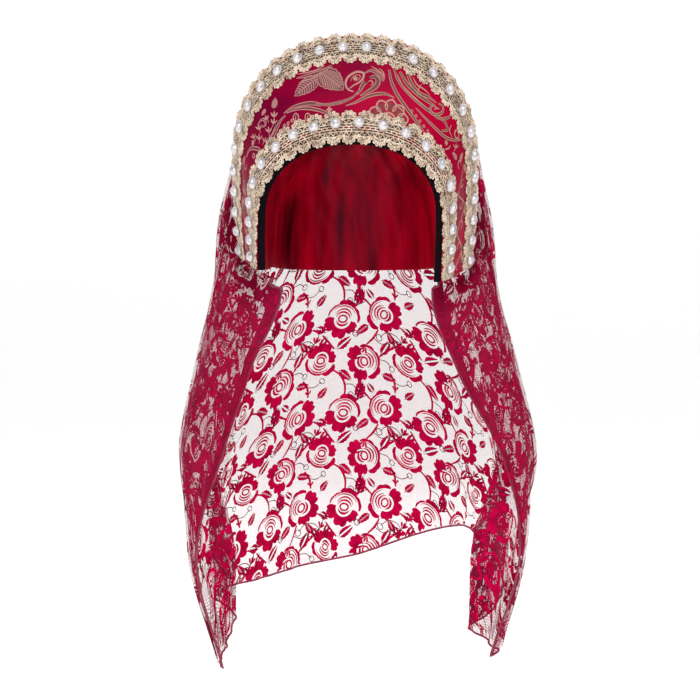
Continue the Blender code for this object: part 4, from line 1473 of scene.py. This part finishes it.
# The veil's folds, from its -X edge to its +X edge. Each row says at what share of the rim the fold is sewn, where past
# 1 it returns under the rim's end, and then gives in millimetres x and y beside the ear, at the neck, at the chest and
# below, and x, y and z at the hem.
FOLDS = (
    (-1.12, -77, -4, -104, -5, -132, -18, -158, -20, -135, -10, -538),
    (-1.00, -121, 2, -133, -24, -157, -26, -164, -10, -134, -2, -532),
    (-0.90, -137, 10, -150, -12, -168, -16, -161, -6, -132, 0, -524),
    (-0.74, -141, 10, -159, 0, -174.5, -4, -152, -6, -130, 2, -514),
    (-0.60, -134, 40, -151, 36, -152, 24, -124, -2, -122, 2, -486),
    (-0.46, -113, 64, -131, 62, -140, 54, -147, 32, -142, 30, -468),
    (-0.30, -83, 92, -96, 97, -104, 98, -112, 86, -108, 82, -458),
    (-0.14, -42, 110, -49, 117, -54, 124, -58, 128, -56, 130, -446),
    (0.00, 0, 114, 0, 120, 0, 119, 1, 114, 2, 112, -432),
    (0.14, 42, 110, 49, 117, 55, 124, 58, 128, 57, 130, -414),
    (0.30, 83, 92, 97, 97, 106, 98, 112, 88, 110, 84, -402),
    (0.46, 113, 64, 131, 62, 142, 54, 151, 34, 148, 30, -466),
    (0.60, 134, 40, 152, 36, 147, 22, 121, -2, 116.5, 0, -496),
    (0.74, 141, 10, 161, 0, 178.5, -2, 152, -6, 132, 4, -508),
    (0.90, 137, 10, 152, -12, 175, -14, 162, -6, 137, 2, -514),
    (1.00, 122, 3, 134, -24, 169, -24, 167, -8, 140, 0, -518),
    (1.12, 78, -4, 103, -5, 149, -16, 167, -18, 139, -8, -524),
)
# Ripples across the veil: how many there are, their depth in metres and their phase.
RIPPLES = ((11.0, 0.0026, 0.6), (17.0, 0.0014, 2.1), (37.0, 0.0006, 0.3), (59.0, 0.0004, 1.4))

# The lace's repeat in millimetres: roses (x, y, size, turn), leaves (x, y, turn, length, width, vein), stems and
# tendrils (x and y of each point), loops (x, y, radius) and buds (x, y, size, turn).
ROSE_SCALE = 0.92
ROSE_TILE = (104, 108)
ROSES = ((0, 0, 20.5, 20), (54, 8, 19, -110), (26, -52, 20.5, 160), (80, -58, 21, 75))
LEAVES = (
    (22, 10, 60, 20, 11, 2.2), (23, -13, -18, 18, 9.5, 1), (74, 18, 35, 21, 11, 2.2), (76, -8, -42, 19, 10, 1),
    (-2, -23, -112, 20, 10.5, 2.2), (50, -36, 44, 16, 9, 1), (49, -62, -28, 15, 9, 2.2), (6, -66, 215, 19, 9.5, 1),
    (60, -76, 236, 18, 9, 2.2), (98, -42, 66, 19, 10, 1), (12, -34, 128, 13, 8, 2), (36, 24, 118, 16, 8.5, 1),
    (36, -78, -62, 15, 8, 2), (92, 6, 8, 13, 7.5, 2),
)
STEMS = (
    (18, 6, 26, 13, 36, 20, 46, 27), (-6, -20, -4, -30, 4, -38, 10, -44), (68, -6, 76, -12, 82, -24, 82, -38),
    (44, -62, 52, -67, 62, -66), (18, -70, 12, -80, 4, -88), (96, -44, 101, -30, 100, -18),
    (32, -10, 37, -20, 38, -32), (70, 18, 62, 28, 56, 36),
)
TENDRILS = (
    (20, 4, 28, 2, 33, -4), (46, 27, 40, 34, 28, 36, 20, 30), (82, -24, 92, -26, 97, -34),
    (4, -38, -6, -42, -14, -38), (52, -67, 50, -76, 42, -82), (12, -80, 22, -86, 32, -84),
    (37, -20, 46, -22, 54, -18), (76, 30, 84, 36, 94, 34),
)
LOOPS = (
    (34, -5, 2.6), (19, 29, 3), (98, -35, 2.6), (-15, -37, 2.8), (41, -83, 3), (33, -84.5, 2.4), (55, -17, 2.6),
    (95, 33, 2.8),
)
BUDS = ((46, 28, 9, 60), (100, -16, 8, 80), (3, -90, 9, 240), (38, -30, 7, 90), (56, 37, 8, 120))


@dataclass
class Veil(Maker):
    """The lace veil: a net sheet that hangs from the rim, with roses, leaves and a bound hem."""

    past_rim: float = 0.0015
    end_slack: float = 0.0040
    leaves_back: float = 0.0110
    ear_below_end: float = 0.0240
    neck_z: float = -0.2400
    chest_z: float = -0.3300
    low_share: float = 0.45
    ear_point: tuple = (0.0790, -0.0020, -0.1400)
    return_span: float = 0.12
    under_end: float = 0.0080
    cap_clear: float = 0.0030
    columns: int = 300
    rows: int = 190
    hem_radius: float = 0.0010
    hem_step: float = 0.0016
    rose_lift: float = 0.00025
    stem_lift: float = 0.00035
    under_gap: float = 0.0026
    under_top: int = 6
    under_foot: int = 2
    under_columns: int = 92
    under_shift: tuple[float, float] = (0.26, -0.22)
    fold_columns: int = 4
    fold_gap: float = 0.0008

    def build(self, cap: SatinCap) -> None:
        """Makes the net, the lace figures, the hem and an underfold on each side.

        Args:
            cap: The cap, which the veil stays clear of.
        """
        grid = self._drape(cap)
        normal = sheet_normals(grid)
        finishes = [
            HexNet("veil_net_thread", linear(168, 4, 70)).make(),
            LaceFill("veil_rose_fill", linear(160, 0, 50), linear(222, 6, 80)).make(),
            LaceFill("veil_stem_thread", linear(84, 6, 34), linear(124, 10, 48)).make(),
        ]
        edge = np.array([run_of(row) for row in grid])
        down = np.array([run_of(column) for column in grid.transpose(1, 0, 2)]).T
        chart = np.stack([edge - edge[:, [self.columns // 2]], -down], axis=2)
        net, pieces = self._layer("veil", grid, chart, finishes, self._repeat(True), (0.0, 0.0))
        hem = self._hem(grid)
        cloth = LaceFill("veil_fold_cloth", linear(138, 0, 40), linear(190, 2, 58)).make()
        for side, band in self._bands(self.fold_columns):
            folded = (grid - normal * self.fold_gap)[:, band]
            pieces.append(self._cloth(f"veil_fold_{side}", folded, chart[:, band], cloth))
        self._declare(net, [*pieces, hem], grid, chart, ["veil"], "hung", "rim_guipure")
        cells = self._repeat(False)
        rows = slice(self.under_top, -self.under_foot)
        for side, band in self._bands(self.under_columns):
            under, part = (grid + normal * self.under_gap)[rows, band], chart[rows, band]
            net, pieces = self._layer(f"veil_underfold_{side}", under, part, finishes, cells, self.under_shift)
            self._declare(net, pieces, under, part, [], "gathered", "veil_net")

    @staticmethod
    def _bands(count: int) -> tuple[tuple[str, slice], tuple[str, slice]]:
        """The columns of the grid beside each of its edges."""
        return ("right", slice(0, count)), ("left", slice(-count, None))

    def _declare(self, net: bpy.types.Object, pieces: list, grid: np.ndarray, chart: np.ndarray,
                 nodes: list[str], held: str, rests_on: str) -> None:
        """Args:
            net: Its net.
            pieces: The pieces that are sewn on the net.
            grid: Its points.
            chart: Their places on the flat cloth.
            nodes: The solids that the net replaces.
            held: How it is held; not used.
            rests_on: The piece that it hangs from or lies on; not used.
        """
        self.finish(net, nodes, "veil_red")
        for piece in pieces:
            self.finish(piece, [], "veil_red")
        across = np.array([run_of(row)[-1] for row in grid])
        flat = (round(float(across.mean()), 3), round(float((chart[0, :, 1] - chart[-1, :, 1]).mean()), 3))
        down, along = grid[1:, :-1] - grid[:-1, :-1], grid[:-1, 1:] - grid[:-1, :-1]

    def _cloth(self, name: str, grid: np.ndarray, chart: np.ndarray, finish: bpy.types.Material) -> bpy.types.Object:
        """A charted sheet of the veil, in its material."""
        cloth = weld(sheet_object(name, grid), False)
        add_chart(cloth, chart, -sheet_normals(grid))
        return dress(smooth(cloth, 180.0), finish)

    def _layer(self, name: str, grid: np.ndarray, chart: np.ndarray, finishes: list, cells: list,
               shift: tuple[float, float]) -> tuple[bpy.types.Object, list]:
        """One layer of the lace: its net, its roses and its stems.

        Args:
            name: The start of its pieces' names.
            grid: Its points.
            chart: Their places on the flat cloth.
            finishes: The materials of the net, the roses and the stems.
            cells: One repeat of the roses and of the stems.
            shift: How far its repeats are moved, in repeats.

        Returns:
            The net and its figures.
        """
        net = self._cloth(f"{name}_net", grid, chart, finishes[0])
        step_x, step_y = (side * ROSE_SCALE * MM for side in ROSE_TILE)
        low, high = chart.min(axis=(0, 1)), chart.max(axis=(0, 1))
        first = math.floor(low[0] / step_x) - 1
        counts = math.ceil(high[0] / step_x) - first + 1, math.ceil(-low[1] / step_y) + 3
        start = (first + shift[0]) * step_x, (1.2 + shift[1]) * step_y
        return net, [
            self.wrap.run(f"{name}_{kind}", cell, net, finish, lift, counts, (step_x, -step_y), start)
            for kind, cell, finish, lift in zip(("roses", "stems"), cells, finishes[1:],
                                                (self.rose_lift, self.stem_lift))
        ]

    def _top(self, sewn: float) -> np.ndarray:
        """Where the veil is sewn: behind the rim, and past its ends on the way to the ear point."""
        share = np.array([min(max(sewn, -1.0), 1.0)])
        slack = self.past_rim + self.end_slack * float(share[0]) ** 8
        rim = self.form.sheet(share, lambda width: (width + slack)[None, :], 0.0)[0, 0]
        past = (abs(sewn) - 1.0) / self.return_span
        if past <= 0.0:
            return rim
        ear = np.array([math.copysign(self.ear_point[0], sewn), *self.ear_point[1:]])
        point = rim + (ear - rim) * past
        point[2] = rim[2] + (min(ear[2], rim[2]) - self.under_end - rim[2]) * min(4.0 * past, 1.0)
        return point

    def _hang(self, sewn: float, places: np.ndarray) -> np.ndarray:
        """One fold's points from the rim to the hem, at even steps of its length.

        Args:
            sewn: Where it is sewn.
            places: x and y at its four passes, and x, y and z of its hem, in metres.

        Returns:
            The points.
        """
        top = self._top(sewn)
        end_z = self.form.rim.end_z_plus if sewn > 0 else self.form.rim.end_z_minus
        low_z = self.chest_z + (places[10] - self.chest_z) * self.low_share
        heights = np.array([end_z - self.ear_below_end, self.neck_z, self.chest_z, low_z])
        passes = raised(places[:8].reshape(4, 2), heights)
        spots = [top]
        if abs(sewn) <= 1.0:
            spots.append(top + np.array([0.0, self.leaves_back, -0.0005]))
        if top[2] > passes[0, 2] + 0.06:
            spots.append(top + (passes[0] - top) * np.array([0.72, 0.80, 0.45]))
        return evenly(evenly(np.array([*spots, *passes, places[8:]]), 8 * self.rows), self.rows)

    def _drape(self, cap: SatinCap) -> np.ndarray:
        """The veil's points, row by row from the rim to the hem, from its -X edge to its +X edge."""
        folds = np.array(FOLDS)
        lines = np.array([self._hang(fold[0], fold[1:] * MM) for fold in folds])
        knots = run_of(lines[:, self.rows // 2])
        across = np.linspace(0.0, knots[-1], self.columns + 1)
        grid = [np.array([self._top(sewn) for sewn in smooth_through(knots, folds[:, :1], across)[:, 0]])]
        for row in range(1, self.rows + 1):
            points = smooth_through(knots, lines[:, row], across)
            out = raised(-left_of(np.gradient(points, axis=0)))
            fall = (row / self.rows) ** 1.5
            for count, depth, phase in RIPPLES:
                sway = 1.2 * math.sin(count + 3.0 * fall) if count >= 20.0 else 0.0
                wave = np.sin(2 * math.pi * count * across / knots[-1] + phase + sway)
                points = points + out * (wave * depth * fall)[:, None]
            grid.append(self._off_cap(points, cap))
        return np.array(grid)

    def _off_cap(self, points: np.ndarray, cap: SatinCap) -> np.ndarray:
        """The points, moved out of the cap where they would lie in it."""
        reach = np.array([cap.half_width, cap.back_reach, cap.top_z - cap.low_z]) + self.cap_clear
        pivot = np.array([0.0, cap.pivot_y, cap.low_z])
        away = points - pivot
        counted = away > np.array([-np.inf, 0.0, 0.0])
        share = np.abs(away / reach) * counted
        inside = (share**cap.roundness).sum(axis=1) ** (1.0 / cap.roundness)
        moves = (inside < 1.0) & (inside > 1e-6) & (away[:, 2] >= -0.02)
        grow = np.where(moves, 1.0 / np.maximum(inside, 1e-6), 1.0)[:, None]
        return away * np.where(counted, grow, 1.0) + pivot

    def _hem(self, grid: np.ndarray) -> bpy.types.Object:
        """The overlocked hem: a fine cord down both sides and along the bottom."""
        path = np.concatenate([grid[:, 0], grid[-1, 1:], grid[::-1, -1][1:]])
        run = run_of(path)
        even = np.arange(0.0, run[-1], self.hem_step)
        line = np.stack([np.interp(even, run, path[:, k]) for k in range(3)], axis=1)
        slant = unit(np.gradient(line, axis=0))
        side = unit(np.cross(slant, np.array([0.0, 1.0, 0.02])))
        girth = self.hem_radius * (1.0 + 0.18 * (np.arange(len(line)) % 2))[:, None, None]
        section = polar(60.0 * np.arange(6))
        around = side[:, None] * section[:, :1] + np.cross(side, slant)[:, None] * section[:, 1:]
        rings = line[:, None] + around * girth
        hem = weld(new_object("veil_hem", rings.reshape(-1, 3), tube_faces(len(line), 6)))
        finish = LaceCord("hem_thread", linear(104, 14, 46), linear(142, 28, 66), linear(176, 52, 92), 0.0007)
        return dress(smooth(hem, 180.0), finish.make())

    def _repeat(self, roses: bool) -> tuple[FlatWork, FlatWork]:
        """The lace's repeat: roses and leaves in one drawing, stems and outlines in the other.

        Args:
            roses: Whether it has the large roses.

        Returns:
            The two drawings.
        """
        fill, stems, scale = FlatWork(), FlatWork(), ROSE_SCALE
        for x, y, size, turn in ROSES if roses else ():
            Rose(fill, np.array([x, y]) * scale, size * scale, turn).draw()
        for x, y, turn, length, width, vein in LEAVES:
            base, length = np.array([x, y]) * scale, length * scale
            fill.leaf(base, turn, length, width * scale, 5, vein)
            for side in (-1, 1) if vein > 1.5 else (0,):
                edge = [(at * length, side * vein / 2) for at in (-0.1, 0.12, 0.5, 0.86)]
                stems.stroke(turned(np.array(edge), turn) + base, 0.55, (1.0, 1.0), 3.0)
        for work, spines, width, end in ((fill, STEMS, 2.4, 0.7), (stems, TENDRILS, 0.9, 0.9)):
            for spine in spines:
                work.stroke(np.reshape(spine, (-1, 2)) * scale, width, (end, end), 2.0)
        for x, y, radius in LOOPS:
            stems.arc((x * scale, y * scale), radius, 0, 360, 0.8, (1.0, 1.0), 1.2, 30.0, step=1.4)
        for x, y, size, turn in BUDS:
            for lean in (-30, 0, 30):
                fill.petal((x * scale, y * scale), 1.3, size * scale, turn + lean, 27, 2, 0.1)
        return fill, stems


@dataclass
class Rose:
    """A lace rose: an open oval heart, nested crescents on one side, and filled petals with lobed edges."""

    fill: FlatWork
    centre: np.ndarray
    size: float
    turn: float

    def draw(self) -> None:
        """Draws the rose."""
        heart = self.centre + polar(self.turn, 0.06 * self.size)
        self.fill.arc(heart, 0.19 * self.size, 0, 360, 1.9, (1.0, 1.0), 1.25, self.turn, step=1.3)
        for reach, width, span, flat in ((0.37, 2.1, 164, 1.08), (0.54, 1.8, 138, 0.90), (0.70, 1.4, 118, 1.06)):
            self.fill.arc(heart, reach * self.size, -span / 2, span / 2, width, (0.25, 0.25), flat, self.turn)
        self.fill.arc(heart, 0.36 * self.size, self.turn + 112, self.turn + 246, 2.6, (0.2, 0.35))
        for k, (lean, spread) in enumerate(((-62, 58), (-6, 62), (54, 60), (114, 62), (176, 66), (238, 62))):
            reach = self.size * (1.04 + 0.10 * math.sin(2.4 * k + self.turn))
            inner = 0.83 if k < 3 else 0.48
            self.fill.petal(self.centre, inner * self.size, reach, self.turn + lean, spread, 2 + k % 2, 0.18)


@dataclass
class Studio:
    """The camera at the photograph's angle, a pale floor and soft lights."""

    frame_width: float = 0.700
    axis_shift: float = 0.0045
    sensor: float = 36.0
    floor_z: float = -0.5405
    floor_reach: float = 6.0
    floor_bend: float = 1.2
    bend_from: float = 3.0
    wall_top: float = 9.0
    aim: tuple = (0.0, 0.0, -0.15)
    world_strength: float = 0.34
    lamps: tuple = (
        ("key", (0.4, -2.3, 1.9), 1.3, 36.0), ("fill", (-1.9, -1.6, 0.6), 1.8, 6.0),
        ("back", (0.0, 1.9, 1.5), 2.2, 16.0), ("low", (0.0, -1.8, -0.3), 1.4, 4.0),
    )

    def build(self) -> None:
        """Makes the camera, the floor, the lights and the world."""
        self._camera()
        self._floor()
        self._lights()
        bpy.context.scene.view_settings.view_transform = "Standard"

    def _camera(self) -> None:
        """The camera, level with the throat."""
        data = bpy.data.cameras.new("camera")
        data.sensor_width = self.sensor
        data.lens = self.sensor * VIEW_DISTANCE / self.frame_width
        data.shift_x = -self.axis_shift / self.frame_width
        camera = link(bpy.data.objects.new("camera", data))
        camera.location = (VIEW_DISTANCE * math.sin(VIEW_AZIMUTH), -VIEW_DISTANCE * math.cos(VIEW_AZIMUTH), EYE_Z)
        camera.rotation_euler = (math.pi / 2, 0.0, VIEW_AZIMUTH)
        bpy.context.scene.camera = camera

    def _floor(self) -> None:
        """A pale floor that curves up far behind."""
        bend = [(self.bend_from + self.floor_bend * math.sin(a), self.floor_bend * (1 - math.cos(a)))
                for a in np.linspace(0.1, math.pi / 2, 12)]
        profile = [(-self.floor_reach, 0.0), (self.bend_from, 0.0), *bend,
                   (self.bend_from + self.floor_bend, self.wall_top)]
        grid = np.array([[(x, y, self.floor_z + z) for x in (-self.floor_reach, self.floor_reach)]
                         for y, z in profile])
        floor = sheet_object("studio_floor", grid)
        floor.data.shade_smooth()
        dress(floor, Backdrop().make())

    def _lights(self) -> None:
        """A large key light in front, a fill at one side, lights from behind and below, and a white world."""
        for name, place, size, power in self.lamps:
            data = bpy.data.lights.new(name, "AREA")
            data.energy, data.size = power, size
            lamp = link(bpy.data.objects.new(name, data))
            lamp.location = place
            aim = np.array(self.aim) - np.array(place)
            lamp.rotation_euler = (math.acos(-aim[2] / float(np.linalg.norm(aim))), 0.0,
                                   math.atan2(aim[1], aim[0]) - math.pi / 2)
        world = bpy.data.worlds.new("studio")
        bpy.context.scene.world = world
        world.use_nodes = True
        sky = world.node_tree.nodes["Background"].inputs
        sky["Color"].default_value, sky["Strength"].default_value = WHITE, self.world_strength


def main() -> None:
    """Builds every piece of the hood around the frame."""
    logging.basicConfig(level=logging.INFO, format="%(message)s")
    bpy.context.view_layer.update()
    Studio().build()
    form, wrap = CrescentForm(), WrapTree()
    Crescent(form, wrap).build()
    cap = SatinCap(form, wrap)
    cap.build()
    FaceBinding(form, wrap).build()
    gold = LaceCord("guipure_cord", linear(118, 92, 74), linear(214, 184, 158), linear(255, 238, 216)).make()
    # Painted shade: the dark brown of the sheet under the trims' holes.
    shade = LaceCord("trim_painted_shade", linear(38, 22, 16), linear(72, 46, 34), linear(104, 74, 54)).make()
    coat = PearlCoat().make()
    Trim(form, wrap).build(gold, shade, coat)
    Trim(form, wrap, Side.RIM, 26, middle=0.0015, end_margin=0.0095, pearl_spread=0.07).build(gold, shade, coat)
    Veil(form, wrap).build(cap)


if __name__ == "__main__":
    main()
